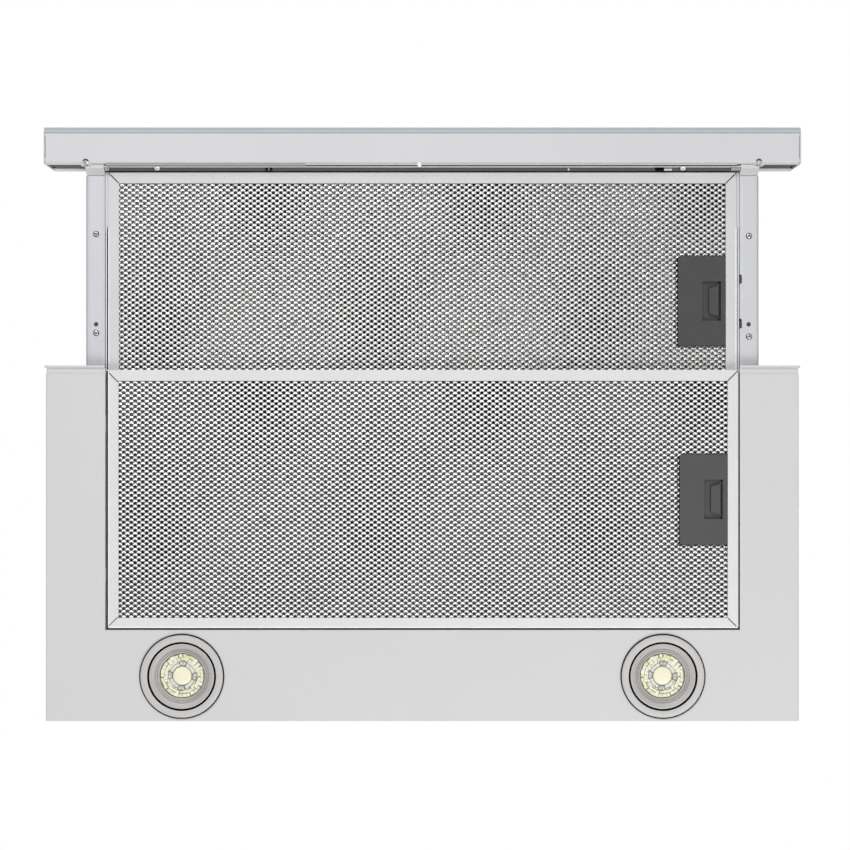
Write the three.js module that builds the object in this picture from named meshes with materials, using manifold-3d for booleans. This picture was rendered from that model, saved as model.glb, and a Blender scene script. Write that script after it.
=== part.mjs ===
// Pull-out range hood of the 600 mm class, with its filter carriage drawn out.
// Millimetres, +Z up, the front towards -Y and the wall at y = 0.
// The origin is the middle of the rear face, level with the underside of the cabinet.

import * as THREE from 'three';
import { mergeVertices } from 'three/addons/utils/BufferGeometryUtils.js';
import Module from 'manifold-3d';

const wasm = await Module();
wasm.setup();

// ---------------------------------------------------------------- driving dimensions

// casing
const bodyWidth = 598;
const bodyDepth = 282;
const skirtHeight = 45;
const sheet = 1; // steel sheet of the casing
const bend = 2; // outer radius of a folded edge
const sideStrip = 47.2; // underside beside the filter notch
const rearStrip = 72.3; // underside behind the filter notch
const edgeDepth = 6.4; // joggled strip along the front edge
const edgeInset = 0.5;
const hemDepth = 1.6; // hem that the closed bar meets
const hemProud = 1.2;
const upstandHeight = 22; // rear wall above the seat plane
const seatLedge = 45; // ledge that the cabinet's sides stand on
const seatHoleRadius = 3;
const seatHoleSpacing = 190; // from front to rear
const boxDepth = 252;
const boxHeight = 130;
const flangeWidth = 10;
const cabinetSide = 17; // casing under each side of the cabinet
const passageMargin = 14; // round the opening in the seat plate, inside the motor box
const passageRim = 20;
const passageCorner = 6;
const bracketPad = 50;
const bracketHeight = 60;
const bracketFoot = 18; // bracket above the seat plane
const bracketSheet = 1.5;
const bracketSlotStart = 18;
const bracketSlotLength = 16;
const bracketSlotWidth = 5;

// clearances
const seat = 0.3; // between pieces that touch
const slideGap = 0.4; // at the glides
const filterGap = 0.8; // round a filter
const pinGap = 0.3; // round a flap's pin, and round the shaft

// filters
const filterThick = 7;
const filterRecess = 0.5; // rear filter above the underside
const filterSetback = 3.5; // rear filter behind the front edge
const filterStep = 8; // front filter above the rear one
const filterOverlap = 47.4; // of the two, with the carriage drawn out
const frameFace = 8.7;
const frameWall = 0.8;
const frameGrip = 6; // mesh held inside the frame's channel
const mitreWidth = 0.5;
const mitreDepth = 0.35;
const meshPitchX = 66;
const meshPitchY = 36;
const meshStrand = 5.5; // strand between two openings
const tabWidth = 12;
const tabReach = 3;
const tabThick = 1.2;
const tabSpread = 120; // between the two tabs

// latch of a filter
const latchLength = 71.3;
const latchWidth = 37.7;
const latchThick = 4.2;
const latchInset = 0.4; // from the frame's inner edge
const recessLength = 31.3;
const recessWidth = 14.6;
const recessDepth = 3.1;
const recessEdge = 3.6; // from the latch's right end
const pullSlot = 1.7; // slot in the recess, right of the pull
const pullWidth = 7.5;
const pullLength = 24.3; // of its wide side
const pullNarrow = 20.1;
const pullTravel = 5;
const boltSpread = 35.2; // between the two bolts
const boltWidth = 6;
const yokeThick = 1.2;
const neckWidth = 2.2;
const neckLength = 10;
const neckGap = 0.2;

// carriage
const armGap = 0.6; // from the front filter to an arm
const armWidth = 17.6;
const armHeight = 32;
const armWall = 1.2;
const armBend = 4;
const armDrop = 0.5; // arm below the front filter's face
const catchDepth = 3.2; // of the slots for the latch bolts
const armHole = 1.8;
const armHoleOffset = 18.6; // behind the middle of the front filter
const crossGap = 3.2; // from the front filter to the cross member
const crossLift = 2; // cross member above the underside
const coverOverlap = 20; // of the cover under the seat plate
const tieDepth = 6;
const barProud = 1.5; // bar beyond the casing at each end
const capPlug = 9; // how far an end cap reaches into the bar
const capRib = 8; // the plug's depth, behind the bar's front
const barGap = 1.3; // bar to cross member
const barDepth = 24.4;
const barHeight = 40;
const barBend = 2;
const barLowerLip = 5;
const barUpperLip = 13;
const barEnd = 1; // plate of an end cap
const glassThick = 4;
const glassHeight = 43;
const glassCorner = 2;
const stopGap = 1.5; // bar to hem, closed

// rails
const railDepth = 8.2;
const railWall = 1.2;
const railFlange = 7;
const glideLength = 28;
const frontGlideLength = 20;
const railEnd = 14; // rail's rear end from the wall

// controls
const buttonCount = 5;
const buttonWidth = 12;
const buttonHeight = 10;
const buttonPitch = 17;
const buttonProud = 1.6;
const buttonTravel = 2.5;
const buttonLength = 9.5;
const controlInset = 116; // middle of the buttons from the bar's right end
const housingMargin = 4;
const housingShort = 6; // housing's rear from the bar's
const connectorWidth = 14;
const connectorHeight = 7;
const connectorLength = 5;
const controlZ = -25;
const bezelRim = 5;
const bezelThick = 0.8;

// lamps
const lampInset = 108.3; // from the casing's side
const lampSetback = 35.6;
const bezelRadius = 33.7;
const bezelInner = 28;
const lampRadius = 26.6;
const lampHeight = 18;
const lensRadius = 18;
const lensThick = 2.5;

// blower
const shaftHeight = 56;
const shaftSetback = 126;
const shaftRadius = 4;
const impellerRadius = 40;
const impellerInner = 29;
const impellerWidth = 56;
const bladeCount = 22;
const bladeThick = 1.3;
const bladeSweep = 24; // degrees from the inner to the outer edge
const scrollInner = 61.8; // inner cheek from the middle
const scrollGap = 2.4; // impeller to cheek
const scrollWall = 1.8;
const scrollLeast = 43; // spiral radius at the tongue
const scrollMost = 55;
const tongueAngle = 70;
const inletRadius = 36;
const inletLip = 5;
const mouthRise = 47.4; // above the shaft
const mouthFlange = 4;
const motorRadius = 38;
const motorHalf = 52;
const statorHalf = 22;
const statorProud = 2.5;
const plenumMargin = 6;
const plenumDepth = 124;
const plenumCorner = 18;

// outlet
const spigotRadius = 60;
const spigotWall = 2;
const spigotHeight = 26;
const spigotFlange = 12;
const spigotFlangeThick = 1.6;
const ledgeWidth = 4; // ring that the flaps rest on
const ledgeThick = 2;
const beadRise = 1.2;
const hingeBar = 6; // half width of the bar between the flaps
const hingeOffset = 3; // flap's hinge from the middle
const barrelRadius = 1.8;
const pinRadius = 1;
const pinLength = 3;
const earThick = 3.2;
const flapThick = 1.2;
const flapGap = 0.6; // flap to spigot
const flapNotch = 1.6; // flap to the hinge's ears

// electrical
const capacitorRadius = 17;
const capacitorHeight = 62;
const capacitorInset = 46; // from the motor box's right end
const capacitorSetback = 44; // behind the motor box's front
const capacitorNeck = 6;
const terminalWidth = 78;
const terminalDepth = 38;
const terminalHeight = 24;
const glandRadius = 10;
const glandInset = 58; // from the motor box's left end
const glandSetback = 29;
const glandHex = 15;
const glandHexHeight = 6;
const glandCap = 13;
const glandCapHeight = 14;
const glandDome = 6;
const glandMouth = 7;
const glandBore = 4;
const driverWidth = 90;
const driverDepth = 40;
const driverHeight = 18;
const switchWidth = 9;
const switchLength = 20;
const switchHeight = 16;
const plungerGap = 0.6; // arm to plunger, closed

// ---------------------------------------------------------------- places worked out from them

const bodyHalf = bodyWidth / 2;
const cabinetHalf = bodyHalf - cabinetSide;
const barHalf = bodyHalf + barProud;
const controlX = barHalf - controlInset;
const bodyFront = -bodyDepth;
const underside = -skirtHeight;
const wallTop = -sheet - seat; // of the lower shell, under the seat plate
const notchHalf = bodyHalf - sideStrip;
const notchRear = -rearStrip;
const boxHalf = bodyHalf - seatLedge;
const boxRear = -sheet - seat;
const boxTop = boxHeight;
const boxInnerTop = boxTop - sheet;

const filterHalf = notchHalf - filterGap;
const filterDepth = bodyDepth - rearStrip - filterGap - filterSetback;
const rearFilterRear = notchRear - filterGap;
const rearFilterBottom = underside + filterRecess;
const frontFilterRear = rearFilterRear - filterDepth + filterOverlap;
const frontFilterFront = frontFilterRear - filterDepth;
const frontFilterBottom = rearFilterBottom + filterStep;

const armInner = filterHalf + armGap;
const armOuter = armInner + armWidth;
const armBottom = frontFilterBottom - armDrop;
const armTop = armBottom + armHeight;
const crossRear = frontFilterFront - crossGap;
const crossFront = crossRear - sheet;
const crossBottom = underside + crossLift;
const barRear = crossFront - barGap;
const barFront = barRear - barDepth;
const barTop = underside + barHeight;
const glassRear = barFront - seat;
const glassFront = glassRear - glassThick;
const travel = bodyFront - barRear - stopGap;
const tieFront = frontFilterRear + 0.5;
const tieRear = tieFront + tieDepth;
const armRear = tieRear - 4;
const armFront = crossRear + 6;

const railInner = armOuter + 1;
const railWeb = railInner + railFlange;
const railTop = wallTop;
const railBottom = armBottom;

const seatHoles = [-1, 1].flatMap((side) =>
  [-1, 1].map((end) => [
    (side * (cabinetHalf + bodyHalf)) / 2,
    (end * seatHoleSpacing - bodyDepth) / 2,
  ]),
);

const lampX = bodyHalf - lampInset;
const lampY = -lampSetback;
const lampHole = bezelInner + 1.6;

const shaftY = -shaftSetback;
const hubInner = scrollInner + scrollWall + scrollGap;
const impellerEnd = hubInner + impellerWidth;
const scrollOuter = impellerEnd + scrollGap + scrollWall;
const mouthHeight = shaftHeight + mouthRise;
const plenumFloor = mouthHeight + seat;
const plenumHalf = scrollOuter + plenumMargin;

// ---------------------------------------------------------------- shape helpers

const point = (x, y) => new THREE.Vector2(x, y);
const both = [-1, 1]; // left, right
const sideName = (side) => (side < 0 ? 'left' : 'right');

/** A closed three.js geometry as a solid, on a fine grid and turned the right way out. */
function solid(geometry) {
  const bare = geometry.clone();
  bare.deleteAttribute('normal');
  bare.deleteAttribute('uv');
  const loose = bare.attributes.position.array;
  loose.forEach((value, i) => {
    loose[i] = Math.round(value * 1e4) / 1e4;
  });
  const merged = mergeVertices(bare, 1e-4);
  const at = merged.attributes.position;
  const corners = [];
  let volume = 0;
  for (let i = 0; i < merged.index.count; i += 3) {
    const [a, b, c] = [0, 1, 2].map((k) => merged.index.getX(i + k));
    if (a === b || b === c || c === a) continue;
    corners.push(a, b, c);
    const [p, q, r] = [a, b, c].map((k) => new THREE.Vector3().fromBufferAttribute(at, k));
    volume += p.dot(q.cross(r));
  }
  if (volume < 0) corners.reverse();
  return new wasm.Manifold(
    new wasm.Mesh({
      numProp: 3,
      vertProperties: new Float32Array(at.array),
      triVerts: new Uint32Array(corners),
    }),
  );
}

const join = (first, ...rest) => rest.reduce((whole, next) => whole.add(next), first);
const cut = (first, ...rest) => rest.reduce((whole, next) => whole.subtract(next), first);

/** A box between two limits on each axis, given in either order. */
function box(x0, x1, y0, y1, z0, z1) {
  const size = [x1 - x0, y1 - y0, z1 - z0].map(Math.abs);
  const geometry = new THREE.BoxGeometry(...size);
  geometry.translate((x0 + x1) / 2, (y0 + y1) / 2, (z0 + z1) / 2);
  return solid(geometry);
}

const extrude = (shape, depth, curveSegments = 8) =>
  new THREE.ExtrudeGeometry(shape, { depth, bevelEnabled: false, curveSegments });

/** A shape drawn in (x, y), between two heights. */
function alongZ(shape, z0, z1, curveSegments) {
  return solid(extrude(shape, z1 - z0, curveSegments).translate(0, 0, z0));
}

/** A shape drawn in (x, z), between two depths. */
function alongY(shape, y0, y1, curveSegments) {
  const geometry = extrude(shape, y1 - y0, curveSegments);
  return solid(geometry.rotateX(Math.PI / 2).translate(0, y1, 0));
}

/** A shape drawn in (y, z), between two places across the hood. */
function alongX(shape, x0, x1, curveSegments) {
  const low = Math.min(x0, x1);
  const geometry = extrude(shape, Math.abs(x1 - x0), curveSegments);
  const turn = new THREE.Matrix4().set(0, 0, 1, low, 1, 0, 0, 0, 0, 1, 0, 0, 0, 0, 0, 1);
  return solid(geometry.applyMatrix4(turn));
}

function circle(x, y, radius) {
  const shape = new THREE.Shape();
  shape.absarc(x, y, radius, 0, Math.PI * 2);
  return shape;
}

function roundedRectangle(x0, x1, y0, y1, radius) {
  const corners = [point(x0, y0), point(x1, y0), point(x1, y1), point(x0, y1)];
  const outline = corners.flatMap((corner, i) =>
    roundCorner(corners[(i + 3) % 4], corner, corners[(i + 1) % 4], radius),
  );
  return new THREE.Shape(outline);
}

/** The points of the arc that rounds one corner of an outline. */
function roundCorner(before, corner, after, radius, steps = 3) {
  const toBefore = before.clone().sub(corner).normalize();
  const toAfter = after.clone().sub(corner).normalize();
  const half = Math.acos(THREE.MathUtils.clamp(toBefore.dot(toAfter), -1, 1)) / 2;
  const middle = toBefore.clone().add(toAfter).normalize();
  const centre = corner.clone().addScaledVector(middle, radius / Math.sin(half));
  const start = corner.clone().addScaledVector(toBefore, radius / Math.tan(half)).sub(centre);
  const turn = (Math.PI - 2 * half) * Math.sign(toAfter.cross(toBefore));
  return Array.from({ length: steps + 1 }, (_, i) =>
    start.clone().rotateAround(point(0, 0), (turn * i) / steps).add(centre),
  );
}

/**
 * The section of a folded sheet. It follows one face of the sheet from corner to corner; the
 * sheet lies on the side given (1 left, -1 right of the way it runs), with rounded folds.
 */
function foldedSection(face, thickness, radius, side) {
  const way = face.slice(1).map((p, i) => p.clone().sub(face[i]).normalize());
  const normal = way.map((w) => point(-w.y, w.x).multiplyScalar(side));
  const back = face.map((p, i) => {
    const [before, after] = [normal[Math.max(i - 1, 0)], normal[Math.min(i, way.length - 1)]];
    const mitre = before.clone().add(after).multiplyScalar(thickness / (1 + before.dot(after)));
    return p.clone().add(mitre);
  });
  const folds = (line, isBack) =>
    line.flatMap((p, i) => {
      if (i === 0 || i === line.length - 1) return [p];
      const towards = Math.sign(way[i - 1].cross(way[i])) === side;
      const outer = towards !== isBack;
      return roundCorner(line[i - 1], p, line[i + 1], outer ? radius : radius - thickness);
    });
  return new THREE.Shape([...folds(face, false), ...folds(back, true).reverse()]);
}

/** A ring or disc turned about the vertical axis through (x, y). */
function turned(profile, x, y, segments) {
  const outline = profile.map(([radius, height]) => point(radius, height));
  const geometry = new THREE.LatheGeometry([...outline, outline[0]], segments);
  return solid(geometry.rotateX(Math.PI / 2).translate(x, y, 0));
}

/** The same about the shaft, with the profile's heights running across the hood. */
function turnedOnShaft(profile, segments) {
  const outline = profile.map(([radius, x]) => point(radius, x));
  const geometry = new THREE.LatheGeometry([...outline, outline[0]], segments);
  return solid(geometry.rotateZ(-Math.PI / 2).translate(0, shaftY, shaftHeight));
}

const rod = (x, y, radius, z0, z1, segments = 16) =>
  turned([[0, z0], [radius, z0], [radius, z1], [0, z1]], x, y, segments);

/** A round bar from front to rear. */
const rodY = (x, z, radius, y0, y1, segments = 6) =>
  alongY(circle(x, z, radius), y0, y1, segments);

/** A round bar across the hood. */
const rodX = (y, z, radius, x0, x1, segments = 6) =>
  alongX(circle(y, z, radius), x0, x1, segments);

// ---------------------------------------------------------------- finishes and assembly

const finishes = {
  paint: [0xd4d5d7, 0.45, 0.1],
  paintBright: [0xdcdddf, 0.42, 0.1],
  zinc: [0xb4b8bb, 0.5, 0.7],
  arm: [0xcdd0d6, 0.4, 0.5],
  aluminium: [0xdedfe1, 0.35, 0.85],
  mesh: [0xb9babc, 0.4, 0.9],
  glass: [0xa8c3cd, 0.08, 0.0],
  latch: [0x55565a, 0.55, 0.0],
  black: [0x1f2022, 0.6, 0.0],
  nylon: [0xe9e8e2, 0.5, 0.0],
  lampMetal: [0xcbc6c3, 0.35, 0.6],
  lens: [0xf2f0cd, 0.25, 0.0],
  chrome: [0xd8dadd, 0.12, 1.0],
  steel: [0x9da1a6, 0.3, 0.9],
  blower: [0x2b2d30, 0.6, 0.0],
};

const hood = new THREE.Group();
hood.name = 'pull_out_range_hood';

/** Adds one named piece to a group. */
function place(group, name, body, finish) {
  const { vertProperties, triVerts } = body.getMesh();
  const geometry = new THREE.BufferGeometry();
  geometry.setAttribute('position', new THREE.BufferAttribute(vertProperties, 3));
  geometry.setIndex(new THREE.BufferAttribute(triVerts, 1));
  geometry.computeVertexNormals();
  const [color, roughness, metalness] = finishes[finish];
  const material = new THREE.MeshStandardMaterial({ color, roughness, metalness });
  const mesh = new THREE.Mesh(geometry, material);
  mesh.name = name;
  group.add(mesh);
}

function subassembly(name) {
  const group = new THREE.Group();
  group.name = name;
  hood.add(group);
  return group;
}

// ---------------------------------------------------------------- casing

/** A folded channel in (x, z), open at the top between its inward flanges, if it has any. */
function channel(half, bottom, top, wall, flange) {
  const face = [point(-half, top), point(-half, bottom), point(half, bottom), point(half, top)];
  if (flange) {
    face.unshift(point(flange - half, top));
    face.push(point(half - flange, top));
  }
  return foldedSection(face, wall, bend - sheet + wall, 1);
}

/** Rear wall, let half the sheet's thickness into the folded channel. */
function rearWall() {
  const [half, low, high] = [bodyHalf - sheet / 2, underside + sheet / 2, wallTop - sheet / 2];
  const [leftTop, leftFoot] = [point(-half, high), point(-half, low)];
  const [rightFoot, rightTop] = [point(half, low), point(half, high)];
  const outline = [
    leftTop,
    ...roundCorner(leftTop, leftFoot, rightFoot, bend - sheet / 2),
    ...roundCorner(leftFoot, rightFoot, rightTop, bend - sheet / 2),
    rightTop,
  ];
  return alongY(new THREE.Shape(outline), -sheet, 0);
}

function lowerShell() {
  const trough = (inset, y0, y1) => {
    const [half, low, high] = [bodyHalf - inset, underside + inset, wallTop - inset];
    return alongY(channel(half, low, high, sheet, flangeWidth), y0, y1);
  };
  const joggle = bodyFront + edgeDepth;
  const hemWall = hemProud + edgeInset + sheet;
  const hem = channel(bodyHalf + hemProud, underside - hemProud, wallTop, hemWall);
  const whole = join(
    trough(0, joggle, 0),
    trough(edgeInset, bodyFront + hemDepth / 2, joggle + sheet),
    alongY(hem, bodyFront, bodyFront + hemDepth),
    rearWall(),
    box(-boxHalf, boxHalf, -sheet, 0, wallTop - 2 * sheet, upstandHeight),
  );
  const deep = underside + 3 * sheet;
  const notch = box(-notchHalf, notchHalf, bodyFront - 1, notchRear, underside - 2, deep);
  const lampHoles = both.map((side) => rod(side * lampX, lampY, lampHole, underside - 1, deep, 24));
  const screwHoles = seatHoles.map(([x, y]) => rod(x, y, seatHoleRadius, -10, 0, 12));
  return cut(whole, notch, ...lampHoles, ...screwHoles);
}

function seatPlate() {
  const plate = new THREE.Shape([
    point(-bodyHalf, bodyFront),
    point(bodyHalf, bodyFront),
    point(bodyHalf, boxRear),
    point(-bodyHalf, boxRear),
  ]);
  const half = boxHalf - passageMargin;
  plate.holes.push(
    roundedRectangle(-half, half, -boxDepth + passageRim, boxRear - passageRim, passageCorner),
  );
  seatHoles.forEach(([x, y]) => plate.holes.push(circle(x, y, seatHoleRadius)));
  return alongZ(plate, -sheet, 0, 6);
}

function boxWrap() {
  const face = [
    point(-boxDepth - flangeWidth, seat + sheet),
    point(-boxDepth, seat + sheet),
    point(-boxDepth, boxTop),
    point(boxRear, boxTop),
    point(boxRear, seat),
  ];
  const wrap = alongX(foldedSection(face, sheet, bend, -1), -boxHalf, boxHalf);
  const outlet = rod(0, shaftY, spigotRadius - spigotWall, boxTop - 5, boxTop + 5, 40);
  const gland = rod(-glandX, glandY, glandRadius + seat, boxTop - 5, boxTop + 5, 16);
  return cut(wrap, outlet, gland);
}

const glandX = boxHalf - glandInset;
const glandY = -glandSetback;

function boxEnd(side) {
  const inner = side * (boxHalf + seat);
  const outer = inner + side * sheet;
  const face = [
    point(outer + side * flangeWidth, seat + sheet),
    point(outer, seat + sheet),
    point(outer, boxTop),
  ];
  return alongY(foldedSection(face, sheet, bend, side), -boxDepth, boxRear);
}

/** Folded bracket from the motor box to the cabinet's side, with two slots in its pad. */
function sideBracket(side) {
  const wall = bracketSheet;
  const foot = side * (boxHalf + sheet + 2 * seat);
  const pad = side * (cabinetHalf - seat);
  const rear = shaftY - bracketPad / 2;
  const [z0, z1] = [bracketFoot, bracketFoot + bracketHeight];
  const face = [
    point(foot, rear - bracketPad / 2),
    point(foot, rear),
    point(pad - side * wall, rear),
    point(pad - side * wall, rear + bracketPad),
  ];
  const strip = alongZ(foldedSection(face, wall, bend, -side), z0, z1);
  const slotFront = rear + bracketSlotStart;
  const slotRear = slotFront + bracketSlotLength;
  const slots = [z0 + bracketHeight / 4, z1 - bracketHeight / 4].map((z) => {
    const [low, high] = [z - bracketSlotWidth / 2, z + bracketSlotWidth / 2];
    return box(pad - side * 4, pad + side, slotFront, slotRear, low, high);
  });
  return cut(strip, ...slots);
}

/** Rail that hangs under the seat plate, open towards the middle of the hood. */
function fixedRail(side) {
  const outer = side * (railWeb + railWall);
  const face = [
    point(side * railInner, railTop),
    point(outer, railTop),
    point(outer, railBottom),
    point(side * railInner, railBottom),
  ];
  const section = foldedSection(face, railWall, bend, -side);
  return alongY(section, bodyFront + hemDepth, -railEnd);
}

function glide(side, y0, y1, innerGap, outerGap) {
  const low = railBottom + railWall + seat;
  const high = railTop - railWall - seat;
  const shape = roundedRectangle(
    Math.min(side * (armOuter + innerGap), side * (railWeb - outerGap)),
    Math.max(side * (armOuter + innerGap), side * (railWeb - outerGap)),
    low,
    high,
    1.5,
  );
  return alongY(shape, y0, y1);
}

function positionSwitch() {
  const outer = railInner - seat;
  const plungerTip = armRear + travel + plungerGap;
  const front = plungerTip + 2;
  const middle = (railTop + railBottom) / 2;
  return join(
    box(outer, outer - switchWidth, front, front + switchLength, middle, middle + switchHeight),
    box(outer - 3, outer - 6, plungerTip, front + 1, middle + 5, middle + 8),
  );
}

const casing = subassembly('casing');
place(casing, 'lower_shell', lowerShell(), 'paint');
place(casing, 'seat_plate', seatPlate(), 'zinc');
place(casing, 'box_wrap', boxWrap(), 'zinc');
both.forEach((side) => {
  const name = sideName(side);
  place(casing, `box_end_${name}`, boxEnd(side), 'zinc');
  place(casing, `side_bracket_${name}`, sideBracket(side), 'zinc');
  place(casing, `fixed_rail_${name}`, fixedRail(side), 'steel');
  const glideFront = bodyFront + hemDepth + 1;
  const frontGlide = glide(side, glideFront, glideFront + frontGlideLength, slideGap, seat);
  place(casing, `front_glide_${name}`, frontGlide, 'nylon');
});
place(casing, 'position_switch', positionSwitch(), 'black');

// ---------------------------------------------------------------- lamps

/** Ring under the sheet, with the collar that passes up through the lamp hole. */
function lampBezel(x) {
  const face = underside - seat;
  const rim = 1.4;
  const collar = lampHole - seat;
  const profile = [
    [bezelInner, face - rim],
    [bezelRadius - 2, face - rim],
    [bezelRadius, face - 0.3],
    [bezelRadius, face],
    [collar, face],
    [collar, underside + lampHeight - 6],
    [bezelInner, underside + lampHeight - 6],
  ];
  return turned(profile, x, lampY, 24);
}

/** Dished body that holds the lens. */
function lampBody(x) {
  const face = underside - seat - 0.7;
  const lensSeat = face + 3.2;
  const profile = [
    [0, lensSeat + lensThick + seat],
    [lensRadius + seat, lensSeat + lensThick + seat],
    [lensRadius + seat, lensSeat],
    [lampRadius - 4, face + 0.8],
    [lampRadius - 3, face],
    [lampRadius, face],
    [lampRadius, underside + lampHeight - 2],
    [lampRadius - 4, underside + lampHeight + 2],
    [0, underside + lampHeight + 2],
  ];
  return turned(profile, x, lampY, 24);
}

function lampLens(x) {
  const low = underside - 0.7 + 3.2;
  const profile = [
    [0, low],
    [lensRadius * 0.35, low - 0.5],
    [lensRadius * 0.45, low],
    [lensRadius, low + 0.4],
    [lensRadius, low + lensThick - seat],
    [0, low + lensThick - seat],
  ];
  return turned(profile, x, lampY, 24);
}

const lamps = subassembly('lamps');
both.forEach((side) => {
  const name = sideName(side);
  place(lamps, `lamp_bezel_${name}`, lampBezel(side * lampX), 'lampMetal');
  place(lamps, `lamp_body_${name}`, lampBody(side * lampX), 'lampMetal');
  place(lamps, `lamp_lens_${name}`, lampLens(side * lampX), 'lens');
});

// ---------------------------------------------------------------- blower

const radians = THREE.MathUtils.degToRad;
const onShaft = (radius, angle) =>
  point(shaftY + radius * Math.cos(angle), shaftHeight + radius * Math.sin(angle));

/** Spiral of a scroll in (y, z), from the mouth down the rear and round to the tongue. */
function spiral(wall, mouthTop) {
  const tongueY = shaftY + scrollLeast * Math.cos(radians(tongueAngle)) - wall;
  const last = Math.acos((tongueY - shaftY) / (scrollLeast + wall));
  const steps = 18;
  const outline = [point(shaftY + scrollMost + wall, mouthTop)];
  for (let i = 0; i <= steps; i += 1) {
    const angle = Math.PI * 2 + ((last - Math.PI * 2) * i) / steps;
    const share = (angle - radians(tongueAngle)) / (Math.PI * 2 - radians(tongueAngle));
    outline.push(onShaft(scrollLeast + (scrollMost - scrollLeast) * Math.max(share, 0) + wall, angle));
  }
  outline.push(point(tongueY, mouthTop));
  return new THREE.Shape(outline);
}

const mouthFront = shaftY + scrollLeast * Math.cos(radians(tongueAngle));
const mouthRear = shaftY + scrollMost;

function scroll(side) {
  const [cheekIn, cheekOut] = [side * scrollInner, side * scrollOuter];
  const [roomIn, roomOut] = [cheekIn + side * scrollWall, cheekOut - side * scrollWall];
  const reach = mouthFlange + scrollWall;
  const flange = box(
    cheekIn - side * mouthFlange,
    cheekOut + side * mouthFlange,
    mouthFront - reach,
    mouthRear + reach,
    mouthHeight - scrollWall,
    mouthHeight,
  );
  const lip = turnedOnShaft(
    [
      [inletRadius, cheekOut - side * 0.5],
      [inletRadius + 2, cheekOut - side * 0.5],
      [inletRadius + 5, cheekOut + side * inletLip],
      [inletRadius + 3, cheekOut + side * inletLip],
    ],
    32,
  );
  const shell = join(alongX(spiral(scrollWall, mouthHeight), cheekIn, cheekOut), flange, lip);
  const room = alongX(spiral(0, mouthHeight + 5), roomIn, roomOut);
  const inlet = rodX(shaftY, shaftHeight, inletRadius, roomOut - side, cheekOut + side * 2, 32);
  const shaftHole = rodX(shaftY, shaftHeight, 12, roomIn + side, cheekIn - side * 2, 16);
  return cut(shell, room, inlet, shaftHole);
}

/** One forward-curved blade in (y, z), its outer edge leading. */
function bladeShape(index) {
  const start = (index / bladeCount) * Math.PI * 2;
  const steps = 2;
  const inner = impellerInner;
  const chord = impellerRadius - impellerInner;
  const edge = (offset) =>
    Array.from({ length: steps + 1 }, (_, i) => {
      const share = i / steps;
      const radius = inner + chord * share;
      const angle = start + radians(bladeSweep) * share * share + offset / radius;
      return onShaft(radius, angle);
    });
  return new THREE.Shape([...edge(bladeThick / 2), ...edge(-bladeThick / 2).reverse()]);
}

/** Squirrel-cage wheel: hub disc towards the motor, blades, and a ring at the inlet end. */
function impeller(side) {
  const hub = side * hubInner;
  const end = side * impellerEnd;
  const discThick = 2;
  const ringWidth = 3;
  const boss = turnedOnShaft(
    [
      [shaftRadius + pinGap, hub],
      [impellerRadius + 0.5, hub],
      [impellerRadius + 0.5, hub + side * discThick],
      [11, hub + side * discThick],
      [9, hub + side * 16],
      [shaftRadius + pinGap, hub + side * 16],
    ],
    24,
  );
  const ring = turnedOnShaft(
    [
      [impellerRadius - 1.5, end],
      [impellerRadius + 0.5, end],
      [impellerRadius + 0.5, end - side * ringWidth],
      [impellerRadius - 1.5, end - side * ringWidth],
    ],
    24,
  );
  const blades = Array.from({ length: bladeCount }, (_, i) =>
    alongX(bladeShape(i), hub + side * 0.8, end - side * 0.8),
  );
  return join(boss, ring, ...blades);
}

/** Motor with a laminated stator between two vented bells, and lugs that meet the scrolls. */
function motorHousing() {
  const bore = shaftRadius + pinGap;
  const half = [
    [bore, motorHalf],
    [12, motorHalf],
    [13, motorHalf - 6],
    [motorRadius - 4, motorHalf - 10],
    [motorRadius, motorHalf - 14],
    [motorRadius, statorHalf],
    [motorRadius + statorProud, statorHalf],
  ];
  const profile = [...half, ...half.map(([radius, x]) => [radius, -x]).reverse()];
  const lugRadius = motorRadius - 6;
  const lugEnd = scrollInner - seat;
  const lugs = both.flatMap((side) =>
    [90, 210, 330].map((degrees) => {
      const at = onShaft(lugRadius, radians(degrees));
      return rodX(at.x, at.y, 3.5, side * (motorHalf - 16), side * lugEnd, 8);
    }),
  );
  const vents = both.flatMap((side) =>
    [30, 90, 150, 210, 270, 330].map((degrees) => {
      const [x0, x1] = [side * (statorHalf + 3), side * (motorHalf - 17)];
      const slot = box(x0, x1, motorRadius - 3, motorRadius + 5, -5, 5);
      return slot.rotate([degrees + 30, 0, 0]).translate([0, shaftY, shaftHeight]);
    }),
  );
  return cut(join(turnedOnShaft(profile, 24), ...lugs), ...vents);
}

function motorShaft() {
  const half = impellerEnd - 4;
  return turnedOnShaft([[0, -half], [shaftRadius, -half], [shaftRadius, half], [0, half]], 16);
}

/** Tray that gathers both scroll mouths under the outlet. */
function plenum() {
  const [front, rear] = [shaftY - plenumDepth / 2, shaftY + plenumDepth / 2];
  const tray = alongZ(
    roundedRectangle(-plenumHalf, plenumHalf, front, rear, plenumCorner),
    plenumFloor,
    boxInnerTop - seat,
  );
  const room = alongZ(
    roundedRectangle(
      -plenumHalf + scrollWall,
      plenumHalf - scrollWall,
      front + scrollWall,
      rear - scrollWall,
      plenumCorner - scrollWall,
    ),
    plenumFloor + scrollWall,
    boxTop,
  );
  const mouths = both.map((side) =>
    box(
      side * (scrollInner + scrollWall),
      side * (scrollOuter - scrollWall),
      mouthFront,
      mouthRear,
      plenumFloor - 1,
      plenumFloor + 5,
    ),
  );
  return cut(tray, room, ...mouths);
}

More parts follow.
